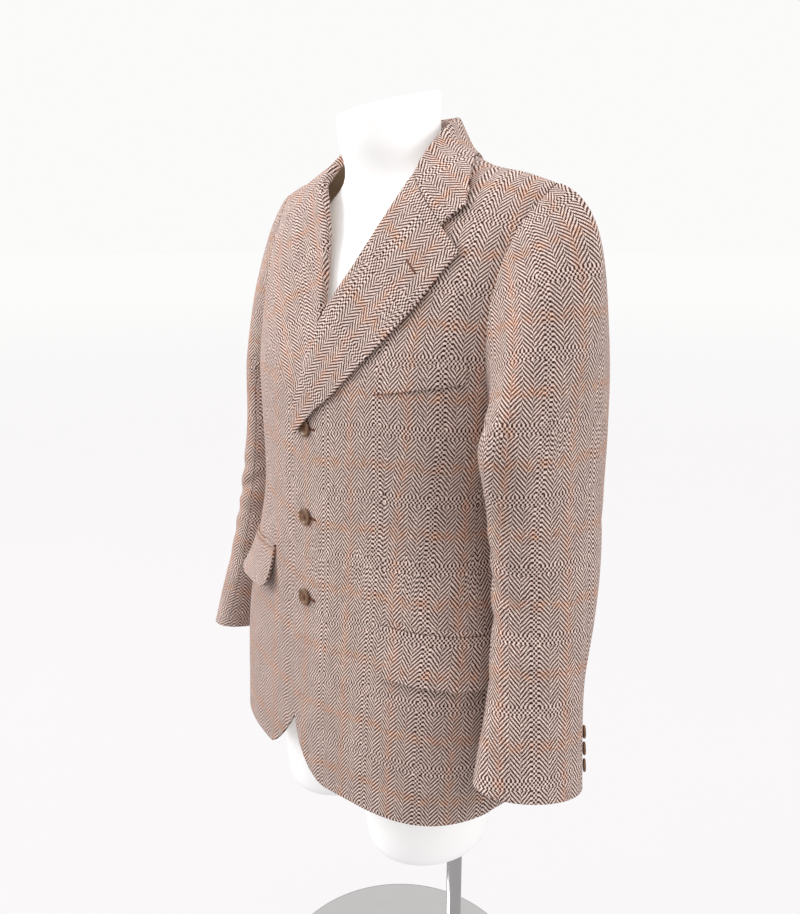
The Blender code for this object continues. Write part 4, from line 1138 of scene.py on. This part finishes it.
def build_sleeves():
    first, last = [round(share * SLEEVE_COUNT) for share in SLEEVE_SEAMS]
    top = np.concatenate([np.arange(last, SLEEVE_COUNT), np.arange(0, first + 1)])
    under = np.arange(first, last + 1)
    halves = (
        ("top", top, SLEEVE_COUNT - last, SLEEVE_LINE), ("under", under, len(under) // 2, 0.0))
    for side_name, side in SIDES:
        rows = sleeve_points(side_name, SLEEVE_COUNT)
        ring = np.concatenate([rows[:, -1:], rows, rows[:, :1]], axis=1)
        sunk = crease_depths(rows) + soft_waves(rows, SLEEVE_WAVES, 5)
        rows = rows + grid_normals(ring)[:, 1:-1] * sunk[..., None]
        for half, columns, start, line in halves:
            piece = rows[:, columns].copy()
            guide = sleeve_guide(piece, start)
            flat = eased_cap(flattened(piece, guide, slice(CAP_ROWS, CAP_ROWS + FIT_ROWS)))
            weave = count_yarns(flat[..., 0] - line, flat[..., 1] - SLEEVE_BAND)
            for end, inward in ((0, 1), (-1, -1)):
                edge = piece[:, end + inward] - piece[:, end]
                piece[:, end] += unit(edge) * SLEEVE_SEAM_GAP / 2
            name = f"sleeve_{side_name}_{half}"
            cloth(name, piece, weave, CLOTH_WALL, side, lined=True)


# ---------------------------------------------------------------- lapels and collar
def even_along(table, count):
    """Points at even distances along a line given by a short table."""
    steps = np.linalg.norm(np.diff(table, axis=0), axis=1)
    along = np.concatenate([[0], np.cumsum(steps)])
    at = np.linspace(0, along[-1], count)
    return np.stack([np.interp(at, along, table[:, i]) for i in range(table.shape[1])], -1)


LAPEL_ROWS = 84
FOLD_STEPS = 12
LAPEL_COLUMNS = 30
NEAR_ROLL = 0.1  # share of the way out from the roll at which its direction is taken


def lapel_row(side_name, roll_point, edge_point, shares, shift=0.0):
    """One row across a lapel: round the roll, then out to the given shares of the way to its
    free edge. shift moves the whole row along the surface, away from the break."""
    (fx, fz), (ex, ez) = roll_point, edge_point
    fold = front_point(fx, fz)
    normal = front_normal(fx, fz)
    run = front_point(fx + (ex - fx) * NEAR_ROLL, fz + (ez - fz) * NEAR_ROLL) - fold
    run = unit(run - normal * run.dot(normal))
    middle = fold + normal * (FRONT_WALL / 2 + ROLL_RADIUS)
    row = []
    for angle in np.linspace(-math.pi / 2, math.pi / 2, FOLD_STEPS + 1):
        turn = normal * math.sin(angle) - run * math.cos(angle)
        row.append(middle + turn * ROLL_RADIUS)
    top_lift = FRONT_WALL / 2 + 2 * ROLL_RADIUS
    for share in shares:
        x, z = fx + (ex - fx) * share, fz + (ez - fz) * share
        edge_lift = LAPEL_LIFT + LAPEL_END_LIFT * (1 - smooth_step(fz, *LAPEL_END_FADE))
        lift = top_lift + (edge_lift - top_lift) * smooth_step(share, 0.0, 1.0)
        row.append(front_point(x, z) + front_normal(x, z) * lift)
    row = np.array(row) + np.cross(run, normal) * -shift
    return shape_front(row, side_name)


def lapel_lines(side_name, count):
    """The roll line and the free edge of a lapel as evenly spaced points, break to gorge."""
    roll = ROLL[side_name]
    if side_name == "left":
        return even_along(roll[:, :2], count), even_along(LAPEL_EDGE, count)
    start = LAPEL_RIGHT_START
    over = roll[roll[:, 1] > start, :2]
    first = (float(through(roll[:, [1, 0]], start, 1)), start)
    return even_along(np.vstack([first, over]), count), even_along(LAPEL_EDGE[1:], count)


def lapel_points(side_name):
    """Rows from the break up to the gorge; each runs round the roll and out to the free edge."""
    shares = np.linspace(0, 1, LAPEL_COLUMNS + 1)[1:]
    roll, edge = lapel_lines(side_name, LAPEL_ROWS)
    return np.array([lapel_row(side_name, *ends, shares) for ends in zip(roll, edge)])


def lapel_weave(points):
    """Yarn counts of a lapel, whose grain runs along its free edge."""
    tip, lower = points[-1, -1], points[len(points) // 3, -1]
    along = unit(tip - lower)
    face = grid_normals(points)[len(points) // 2 :, FOLD_STEPS + 2 :].mean(axis=(0, 1))
    inward = unit(np.cross(along, face))
    inward *= np.sign(inward.dot(points[-1, FOLD_STEPS] - tip))
    off = points - tip
    across, up = off @ inward, off @ along
    steps = np.linalg.norm(np.diff(points[:, : FOLD_STEPS + 1], axis=1), axis=-1)
    round_roll = steps[:, ::-1].cumsum(axis=1)[:, ::-1]
    across[:, :FOLD_STEPS] = across[:, FOLD_STEPS : FOLD_STEPS + 1] + round_roll
    up[:, :FOLD_STEPS] = up[:, FOLD_STEPS : FOLD_STEPS + 1]
    return count_yarns(LAPEL_LINE - across, up + LAPEL_BAND)


COLLAR_ROWS = 60
COLLAR_END_ROWS = 16
STAND_STEPS = 8
FALL_STEPS = 13
FALL_START = STAND_STEPS + FOLD_STEPS  # the fall's first column
COLLAR_OUTER = FALL_START + 4  # the first column that is eased
COLLAR_EASED = (COLLAR_ROWS // 2, COLLAR_ROWS + 5, 60)  # from row, to row, how often


def top_height(x, y):
    """Height of the garment surface above the chest at one place in plan."""
    chest = BODY_SECTIONS[-1]
    side = np.where(y < RIDGE_Y, -chest[2], chest[3])
    power = np.where(y < RIDGE_Y, chest[4], chest[5])
    reach = side * oval_depth(x / (CHEST_WIDTH + SHOULDER_GAIN), power) - RIDGE_Y
    return top_points(x, np.clip((y - RIDGE_Y) / np.abs(reach), -0.95, 0.95))[..., 2]


def rest_on_shoulders(points, lift, step=0.001):
    """Raises points that would sink below a lift over the upper garment surface."""
    x, y = points[..., 0], points[..., 1]
    slope_x = (top_height(x + step, y) - top_height(x - step, y)) / (2 * step)
    slope_y = (top_height(x, y + step) - top_height(x, y - step)) / (2 * step)
    least = top_height(x, y) + lift * np.sqrt(1 + slope_x**2 + slope_y**2)
    lifted = points.copy()
    lifted[..., 2] = np.maximum(lifted[..., 2], least)
    return lifted


def collar_half(side_name):
    """Rows from centre back to gorge; each runs up the stand, over the crest and down the fall.
    The last row follows the lapel's top edge to the notch, and then turns to the collar's tip."""
    steps = np.linspace(0, 1, len(COLLAR_STATIONS))
    table = np.column_stack([steps, COLLAR_STATIONS])
    at = np.linspace(0, 1, COLLAR_ROWS)
    data = np.stack([through(table, at, i) for i in range(1, table.shape[1])], -1)
    foot, crest, middle, edge = data[:, 0:2], data[:, 2:5], data[:, 5:8], data[:, 8:11]
    foot = np.column_stack([foot, top_height(foot[:, 0], foot[:, 1]) + STAND_FOOT_LIFT])
    ahead = unit(np.gradient(crest, axis=0))
    up = crest - middle
    up = unit(up - ahead * np.sum(up * ahead, axis=1, keepdims=True))
    out = unit(np.cross(up, ahead))
    columns = []
    for share in np.linspace(0, 1, STAND_STEPS + 1)[:-1]:
        columns.append(foot + (crest - foot) * share)
    for angle in np.linspace(-math.pi / 2, math.pi / 2, FOLD_STEPS + 1):
        turn = out * (1 + math.sin(angle)) + up * math.cos(angle)
        columns.append(crest + turn * ROLL_RADIUS)
    start = crest + out * 2 * ROLL_RADIUS
    fall = []
    for share in np.linspace(0, 1, 2 * FALL_STEPS + 1)[1:]:
        straight = np.where(share < 0.5, start + (middle - start) * 2 * share,
                            middle + (edge - middle) * (2 * share - 1))
        curve = (start * (1 - share) * (1 - 2 * share) + middle * 4 * share * (1 - share)
                 + edge * share * (2 * share - 1))
        fall.append((straight + curve) / 2)
    fall = rest_on_shoulders(np.stack(fall, axis=1), COLLAR_LIFT)
    rows = np.concatenate([np.stack(columns, axis=1), fall], axis=1)

    roll, free = lapel_lines(side_name, LAPEL_ROWS)
    shares = np.linspace(0, NOTCH_SHARE, FALL_STEPS + 1)[1:]
    gorge = lapel_row(side_name, roll[-1], free[-1], shares, GORGE_GAP)
    down = unit(gorge[0] - gorge[FOLD_STEPS]) * STAND_AT_GORGE
    stand = [gorge[0] + down * (1 - share) for share in np.linspace(0, 1, STAND_STEPS + 1)[:-1]]
    notch = gorge[-1]
    tip = [notch + (np.array(COLLAR_TIP) - notch) * share
           for share in np.linspace(0, 1, FALL_STEPS + 1)[1:]]
    last = np.concatenate([np.array(stand), gorge, np.array(tip)])
    start, leave = rows[-1], (rows[-1] - rows[-3]) / 2 * COLLAR_END_ROWS
    ending = []
    for t in np.linspace(0, 1, COLLAR_END_ROWS + 1)[1:]:
        straight = start + (last - start) * t
        ending.append(straight + (leave - (last - start)) * t * (1 - t) ** 3)
    rows = np.concatenate([rows, np.array(ending)])
    rows[:, COLLAR_OUTER:] = eased(rows, *COLLAR_EASED)[:, COLLAR_OUTER:]
    return rows


def collar_weave(points):
    """Yarn counts of half the collar. Its ribs run down the fall, and it has a dotted line
    along its short front edge."""
    end = points[-1, FALL_START:]
    front = points[-COLLAR_END_ROWS:]
    width = unit(end[-1] - points[COLLAR_ROWS, FALL_START])
    drift = end.mean(axis=0) - front[0, FALL_START:].mean(axis=0)
    ahead = unit(drift - width * drift.dot(width))
    off = points - end[FALL_STEPS]
    guide = np.stack([off @ ahead, -(off @ width)], -1)
    flat = flattened(points, guide, (slice(COLLAR_ROWS, None), slice(FALL_START, None)))
    return count_yarns(flat[..., 0] + COLLAR_LINE, flat[..., 1] + COLLAR_BAND)


def build_collar_and_lapels():
    for side_name, side in SIDES:
        points = lapel_points(side_name)
        cloth(f"lapel_{side_name}", points, lapel_weave(points), LAPEL_WALL, side, offset=0.0)
    left, right = collar_half("left"), collar_half("right")
    points = np.concatenate([right[:0:-1] * np.array([-1.0, 1.0, 1.0]), left])
    weave = np.concatenate([collar_weave(right)[:0:-1], collar_weave(left)])
    piece = cloth("collar", points, weave, LAPEL_WALL, 1, offset=0.0)
    width, length = CUTS[piece.name][1]
    CUTS[piece.name] = (piece, (2 * width, length), sheet_area(points))  # two halves, side by side


# ---------------------------------------------------------------- flaps, jets and welt
FLAP_START = 0.0006  # gap between a flap's underside and the front it lies on
JET_GAP = 0.0008
FLAP_CORNER = 0.013
FLAP_GRID = (26, 46)  # rows, columns
JET_GRID = (4, 46)
WELT_GRID = (10, 34)
STAND_OFF_POWER = 1.5  # bends a flap away from the front towards its lower edge
SIDE_FROM = 0.9  # share of the half width past which a patch follows the body's side


def patch_points(side_name, shape, rows, columns, stand_off, top=0.0, bottom=1.0, corner=0.0):
    """A patch on a front: rows down its depth, columns from its front end to its back end,
    and its yarn counts. corner rounds the two lower corners."""
    across, height, drop, length, depth = shape
    grid, weave = [], []
    for v in np.linspace(top, bottom, rows + 1):
        into = max(depth * (v - 1) + corner, 0) / corner if corner else 0
        inset = corner * (1 - math.sqrt(max(1 - into * into, 0))) / length
        row, counts = [], []
        for u in np.linspace(inset, 1 - inset, columns + 1):
            z = height - drop * u - depth * v
            low_z = min(z, CHEST_Z)
            path, xs, _ = ring_part(low_z)
            start = np.interp(across, xs, path)
            x = float(low_points(low_z, start + length * u)[0])
            lift = FRONT_WALL + FLAP_START + stand_off * max(v, 0) ** STAND_OFF_POWER
            counts.append(low_weave(start + length * u, z))
            if x > SIDE_FROM * through(BODY_SECTIONS, low_z, 1) and z < CHEST_Z:
                point = low_points(z, start + length * u)
                ahead = low_points(z, start + length * u + SLOPE_STEP) - point
                normal = unit(np.array([ahead[1], -ahead[0], 0.0]))
                row.append(point + normal * lift)
            else:
                row.append(place_on_front(side_name, x, z, lift))
        grid.append(row)
        weave.append(counts)
    return np.array(grid)[::-1], np.array(weave)[::-1]


def build_pockets():
    for side_name, side in SIDES:
        *shape, stand_off = FLAPS[side_name]
        flap = patch_points(side_name, shape, *FLAP_GRID, stand_off, corner=FLAP_CORNER)
        cloth(f"flap_{side_name}", *flap, FLAP_WALL, side)
        high, low = (JET_HEIGHT + JET_GAP) / shape[4], JET_GAP / shape[4]
        jet = patch_points(side_name, shape, *JET_GRID, 0, -high, -low)
        cloth(f"jet_{side_name}", *jet, JET_WALL, side)
    cloth("breast_welt", *patch_points("left", WELT, *WELT_GRID, 0), JET_WALL)


# ---------------------------------------------------------------- buttons and buttonholes
# share of the radius, share of the depth: a button's profile from its dished face to its back
BUTTON_PROFILE = (
    (0.0, 0.60), (0.40, 0.61), (0.58, 0.66), (0.68, 0.78), (0.76, 0.90), (0.84, 0.95),
    (0.92, 0.90), (0.98, 0.76), (1.0, 0.58), (0.99, 0.36), (0.94, 0.16), (0.82, 0.04),
    (0.60, 0.0), (0.0, 0.0),
)
HOLE_OUT = 0.20  # this and the next two are shares of the button's radius
HOLE_RADIUS = 0.095
STRAND_RADIUS = 0.055
STRAND_ASIDE = 0.6  # of a strand's radius, from the middle of its pair
STRAND_ARCH = (0.60, 0.12, 0.22, 0.08)  # of the depth: dish, ends' sink in it, arch, more on top
BUTTON_SIT = 0.0007  # gap under a button
HOLE_ENDS = (0.001, 0.0175)  # across
LAPEL_HOLE = (70, (FOLD_STEPS + 18, FOLD_STEPS + 23))  # row of the lapel's grid, two columns
LAPEL_HOLE_SIZE = (0.0007, 0.0004)  # half width, thread radius
HOLE_STEPS = (22, 10)  # points along a buttonhole's side, and round its end
HOLE_MIDDLE = 0.010  # across
THREAD_LIFT = 0.0001
SPOT_COUNT = 720  # points round a sleeve from which a button's place is taken
SPOT_STEP = 4
SPOT_RISE = 0.004


def tube(mesh, path, radius, material_index=0, sides=8, closed=False):
    """Adds a round tube along a path of points to a bmesh."""
    path = np.asarray(path, float)
    ahead = np.roll(path, -1, 0) - np.roll(path, 1, 0) if closed else np.gradient(path, axis=0)
    ahead = unit(ahead)
    side = unit(np.cross(ahead, np.cross(ahead[0], unit(path[len(path) // 2] - path[0] + 1e-9))
                         + np.array([1e-6, 0.0, 2e-6])))
    up = np.cross(ahead, side)
    rings = []
    angles = [2 * math.pi * a / sides for a in range(sides)]
    for centre, u, v in zip(path, side, up):
        spots = [centre + radius * (u * math.cos(t) + v * math.sin(t)) for t in angles]
        rings.append([mesh.verts.new(spot) for spot in spots])
    for k in range(len(rings) if closed else len(rings) - 1):
        lower, upper = rings[k], rings[(k + 1) % len(rings)]
        for a in range(sides):
            b = (a + 1) % sides
            face = mesh.faces.new([lower[a], lower[b], upper[b], upper[a]])
            face.smooth = True
            face.material_index = material_index
    if not closed:
        for ring in (rings[0][::-1], rings[-1]):
            mesh.faces.new(ring).material_index = material_index


def button_mesh(name, radius, depth):
    """A turned button with four drilled holes, and crossed thread between them."""
    body = turned("turned", BUTTON_PROFILE, radius, depth, 72)
    drill = bmesh.new()
    out = HOLE_OUT * radius
    spots = [(out * x, out * y) for x, y in ((1, 1), (-1, 1), (-1, -1), (1, -1))]
    for x, y in spots:
        tube(drill, [(x, y, depth * h) for h in (-0.5, 0.5, 1.5)], HOLE_RADIUS * radius, sides=16)
    cutter = helper_object("drill", mesh_of(drill, "drill"))
    combine(body, cutter, "DIFFERENCE")
    made = taken(name, (body, cutter), body, HORN, THREAD)
    whole = bmesh.new()
    whole.from_mesh(made)
    for face in whole.faces:
        face.smooth = True
        face.material_index = 0
    dish, sink, arch, more = STRAND_ARCH
    for start, end, over in ((0, 2, 0.0), (1, 3, more)):
        for aside in (-STRAND_ASIDE, STRAND_ASIDE):
            (x0, y0), (x1, y1) = spots[start], spots[end]
            across = unit(np.array([y1 - y0, x0 - x1])) * aside * STRAND_RADIUS * radius
            path = []
            for t in np.linspace(0, 1, 13):
                rise = math.sin(math.pi * t) ** 0.4 * (arch + over) - sink
                path.append((x0 + (x1 - x0) * t + across[0], y0 + (y1 - y0) * t + across[1],
                             depth * (dish + rise)))
            tube(whole, path, STRAND_RADIUS * radius, material_index=1)
    whole.to_mesh(made)
    whole.free()
    made.set_sharp_from_angle(angle=math.radians(50))
    return made


def button(node, mesh, centre, normal):
    """A button in place of a CAD node, its back face on `centre`, facing along `normal`."""
    piece = bpy.data.objects.new(f"{node}_horn", mesh)
    piece.matrix_world = facing(normal, centre)
    put(piece, [node])


def sleeve_spot(side_name, share, z):
    """A point of a sleeve and its outward normal, by share round the ring and height."""
    index = round(share * SPOT_COUNT)
    above, ring, below = [sleeve_ring(sleeve_row(side_name, z + up), SPOT_COUNT)
                          for up in (SPOT_RISE, 0.0, -SPOT_RISE)]
    around = ring[(index + SPOT_STEP) % SPOT_COUNT] - ring[(index - SPOT_STEP) % SPOT_COUNT]
    return ring[index], unit(np.cross(around, below[index] - above[index]))


def buttonhole(name, start, end, normal, width=0.0013, radius=0.00055):
    """A worked buttonhole: a purled loop of thread round a slit, from start to end."""
    start, end = np.asarray(start), np.asarray(end)
    axis = unit(end - start)
    side = np.cross(normal, axis)
    path = []
    for near, far, way in ((start, end, width), (end, start, -width)):
        for t in np.linspace(0, 1, HOLE_STEPS[0])[:-1]:
            path.append(near + (far - near) * t + side * way)
        for angle in np.linspace(math.pi / 2, -math.pi / 2, HOLE_STEPS[1])[:-1]:
            path.append(far + (side * math.sin(angle) + axis * math.cos(angle)) * way)
    mesh = bmesh.new()
    tube(mesh, path, radius, closed=True, sides=10)
    tube(mesh, [start, (start + end) / 2, end], width * 0.75, sides=10)
    bmesh.ops.recalc_face_normals(mesh, faces=mesh.faces)
    made = mesh_of(mesh, name)
    made.materials.append(THREAD)
    return put(bpy.data.objects.new(name, made), [])


def build_buttons():
    """Buttons, and buttonholes, each with the name of the cloth that it is worked on."""
    holes = {"front_left": []}
    large = button_mesh("button_large", BUTTON_RADIUS, BUTTON_DEPTH)
    small = button_mesh("button_small", CUFF_BUTTON_RADIUS, CUFF_BUTTON_DEPTH)
    for k, height in enumerate(BUTTON_HEIGHTS, 1):
        centre = place_on_front("left", 0.0, height, FRONT_WALL + BUTTON_SIT)
        button(f"front_button_{k}", large, centre, np.array([0.0, -1.0, 0.0]))
        ends = [place_on_front("left", x, height, FRONT_WALL + THREAD_LIFT) for x in HOLE_ENDS]
        normal = front_normal(HOLE_MIDDLE, height)
        holes["front_left"].append(buttonhole(f"buttonhole_{k}", *ends, normal))
    for side_name, side in SIDES:
        mirror = np.array([side, 1.0, 1.0])
        for k, height in enumerate(CUFF_BUTTON_HEIGHTS, 1):
            point, normal = sleeve_spot(side_name, CUFF_BUTTON_SHARE, height)
            centre = (point + normal * (CLOTH_WALL + BUTTON_SIT)) * mirror
            button(f"cuff_button_{side_name}_{k}", small, centre, normal * mirror)
    points = lapel_points("left")
    normals = grid_normals(points)
    row, column = LAPEL_HOLE
    ends = [points[row, c] + normals[row, c] * (LAPEL_WALL / 2 + THREAD_LIFT) for c in column]
    normal = normals[row, column[0]]
    holes["lapel_left"] = [buttonhole("lapel_buttonhole", *ends, normal, *LAPEL_HOLE_SIZE)]
    return holes


# ---------------------------------------------------------------- dress form and stand
FORM_COUNT = 96
FORM_ROWS = 110
NECK_SLANT_Z = (1.15, 1.192)  # heights between which the neck's top comes to slant
FORM_RIM = 0.004
STUB_RIM = 0.07
# shares of a radius and a height, from the middle of the top down to the middle of the foot
PLATE_PROFILE = (
    (0.0, 1.0), (0.90, 1.0), (0.965, 0.93), (0.985, 0.80), (0.998, 0.45), (1.0, 0.25),
    (0.996, 0.0), (0.0, 0.0),
)
KNOB_PROFILE = (
    (0.0, 0.98), (0.55, 1.0), (0.82, 0.97), (1.0, 0.90), (1.0, 0.45), (0.86, 0.40),
    (0.60, 0.38), (0.60, 0.0), (0.0, 0.0),
)


def build_form():
    """The white torso: one smooth loft, with the tops of the legs run into it."""
    table = FORM_SECTIONS
    angle = 2 * math.pi * np.arange(FORM_COUNT) / FORM_COUNT
    rows = []
    for z in np.linspace(table[0, 0], table[-1, 0], FORM_ROWS):
        width, front, back = [float(through(table, z, i)) for i in (1, 2, 3)]
        y = np.where(np.cos(angle) > 0, -front, -back) * np.cos(angle)
        slant = NECK_TOP_SLANT * smooth_step(z, *NECK_SLANT_Z)
        rows.append(np.stack([width * np.sin(angle), y, z + slant * y], -1))
    mesh = bmesh.new()
    verts = [[mesh.verts.new(p) for p in row] for row in rows]
    for lower, upper in zip(verts, verts[1:]):
        for a in range(FORM_COUNT):
            b = (a + 1) % FORM_COUNT
            mesh.faces.new([lower[a], lower[b], upper[b], upper[a]])
    mesh.faces.new(verts[0][::-1])
    mesh.faces.new(verts[-1])
    torso = helper_object("torso", mesh_of(mesh, "torso"))
    bevel(torso, FORM_RIM, 4, 45)
    helpers = [torso]
    for side in (1, -1):
        bpy.ops.mesh.primitive_cone_add(
            vertices=72, radius1=1.0, radius2=STUB_FLARE, depth=STUB_HEAD_Z - STUB_FOOT_Z,
            location=(side * STUB_X, STUB_Y, (STUB_HEAD_Z + STUB_FOOT_Z) / 2),
        )
        stub = bpy.context.object
        stub.scale = (STUB_RADII[0], STUB_RADII[1], 1.0)
        bevel(stub, STUB_RIM, 5, 45)
        combine(torso, stub, "UNION")
        helpers.append(stub)
    made = taken("dress_form", helpers, torso, FORM_WHITE)
    made.shade_smooth()
    made.set_sharp_from_angle(angle=math.radians(40))
    put(bpy.data.objects.new("dress_form", made), ["form_torso"])


def chrome_piece(name, node, place, *shape):
    """A chrome piece turned from its profile."""
    body = turned(name + "_line", *shape)
    made = taken(name, [body], body, CHROME)
    made.shade_smooth()
    made.set_sharp_from_angle(angle=math.radians(35))
    piece = bpy.data.objects.new(name, made)
    piece.matrix_world = place
    put(piece, [node])


def build_stand():
    """A dished base plate with an eased rim, the clamp's milled knob, and the pole."""
    chrome_piece("base_plate", "form_base", Matrix.Identity(4),
                 PLATE_PROFILE, BASE_RADIUS, BASE_HEIGHT, 128)
    length = KNOB_REACH - POLE_RADIUS - FIT_GAP
    turn = math.radians(KNOB_TURN)
    out = np.array([math.sin(turn), -math.cos(turn), 0.0])
    start = np.array([*POLE_XY, STUB_FOOT_Z - FIT_GAP - KNOB_DROP]) + out * (POLE_RADIUS + FIT_GAP)
    chrome_piece("clamp_knob", "form_knob", facing(out, start),
                 KNOB_PROFILE, KNOB_RADIUS, length, 48)
    pole = frame["nodes"]["form_pole"]
    pole.data.materials.clear()
    pole.data.materials.append(CHROME)


# ---------------------------------------------------------------- studio
CAMERA_TURN = 50.0  # degrees from straight ahead towards the wearer's left
CAMERA_PITCH = 14.8
CAMERA_DISTANCE = 1.063
CAMERA_HEIGHT = 1.06
LENS_PIXELS = 893.0
IMAGE_HEIGHT = 914.0
WORLD_LIGHT = 0.90  # as the object is lit, against BACKDROP as the camera sees it
BACKDROP = 0.965
FLOOR_GLOW = 0.985  # the same two for the floor
FLOOR_BOUNCE = 0.52
FLOOR_FADE = (0.5, 14.0)  # from the middle, where the floor's tint turns into the backdrop's
FLOOR_RADIUS = 30.0
FLOOR_GAP = 0.0005
SENSOR = 36.0  # mm


def build_camera():
    data = bpy.data.cameras.new("camera")
    data.sensor_width = SENSOR
    data.lens = SENSOR * LENS_PIXELS / IMAGE_HEIGHT
    camera = bpy.data.objects.new("camera", data)
    turn = math.radians(CAMERA_TURN)
    out = CAMERA_DISTANCE
    camera.location = (out * math.sin(turn), -out * math.cos(turn), CAMERA_HEIGHT)
    camera.rotation_euler = (math.radians(90 - CAMERA_PITCH), 0, turn)
    bpy.context.scene.collection.objects.link(camera)
    bpy.context.scene.camera = camera


def build_lights():
    # name, place, aimed at, size, watts
    lamps = (
        ("key", (-1.7, -1.9, 1.9), (0.0, 0.0, 0.85), 1.8, 54.0),
        ("rim_left", (2.3, 1.1, 1.5), (0.1, 0.0, 0.85), 1.6, 25.0),
        ("top", (0.2, -0.2, 3.0), (0.0, 0.0, 0.8), 2.0, 14.0),
    )
    for name, place, target, size, watts in lamps:
        data = bpy.data.lights.new(name, "AREA")
        data.shape = "DISK"
        data.size = size
        data.energy = watts
        lamp = bpy.data.objects.new(name, data)
        away = np.array(place) - np.array(target)
        lamp.location = place
        tilt = math.acos(away[2] / np.linalg.norm(away))
        lamp.rotation_euler = (tilt, 0, math.atan2(away[0], -away[1]))
        bpy.context.scene.collection.objects.link(lamp)


def build_world():
    world = bpy.data.worlds.new("studio")
    world.use_nodes = True
    tree = world.node_tree
    shader = tree.nodes["Background"]
    path = tree.nodes.new("ShaderNodeLightPath")
    mix = tree.nodes.new("ShaderNodeMix")
    mix.data_type = "FLOAT"
    mix.inputs[2].default_value = WORLD_LIGHT
    mix.inputs[3].default_value = BACKDROP
    tree.links.new(path.outputs["Is Camera Ray"], mix.inputs[0])
    tree.links.new(mix.outputs[0], shader.inputs["Strength"])
    shader.inputs["Color"].default_value = WARM_WHITE
    bpy.context.scene.world = world


def build_floor():
    g = Graph("floor")
    grain = g.noise(g.place(), 3.0, 2.0)
    colour = g.mix(grain, srgb(60, 59, 59), srgb(63, 62, 62))
    g.finish(Base_Color=colour, Roughness=0.9, Specular_IOR_Level=0.0)
    reach = g.node("VectorMath", g.place(), operation="LENGTH").outputs["Value"]
    glow = g.mix(g.remap(reach, *FLOOR_FADE), srgb(244, 242, 243), srgb(249, 249, 248))
    seen = g.node("LightPath").outputs["Is Camera Ray"]
    strength = g.math("MULTIPLY_ADD", seen, FLOOR_GLOW - FLOOR_BOUNCE, FLOOR_BOUNCE)
    g.finish(Emission_Color=glow, Emission_Strength=strength)
    bpy.ops.mesh.primitive_circle_add(
        vertices=96, radius=FLOOR_RADIUS, fill_type="NGON", location=(0, 0, -FLOOR_GAP))
    floor = bpy.context.object
    floor.name = "studio_floor"
    floor.data.materials.append(g.material)


def declare_sheets():
    """Jets are sewn to the fronts, so they are taken out of the cuts listed at the end."""
    jets = {f"front_{side}": CUTS.pop(f"jet_{side}_cloth")[0] for side in ("left", "right")}


build_body()
build_sleeves()
build_collar_and_lapels()
build_pockets()
button_holes = build_buttons()
build_form()
build_stand()
declare_sheets()
build_camera()
build_lights()
build_world()
build_floor()
bpy.context.scene.view_settings.view_transform = "Standard"

for name, (piece, flat, area) in CUTS.items():
    print(f"{name}: cut {flat[0]:.3f} x {flat[1]:.3f} m, {area:.4f} m2")
bpy.context.view_layer.update()
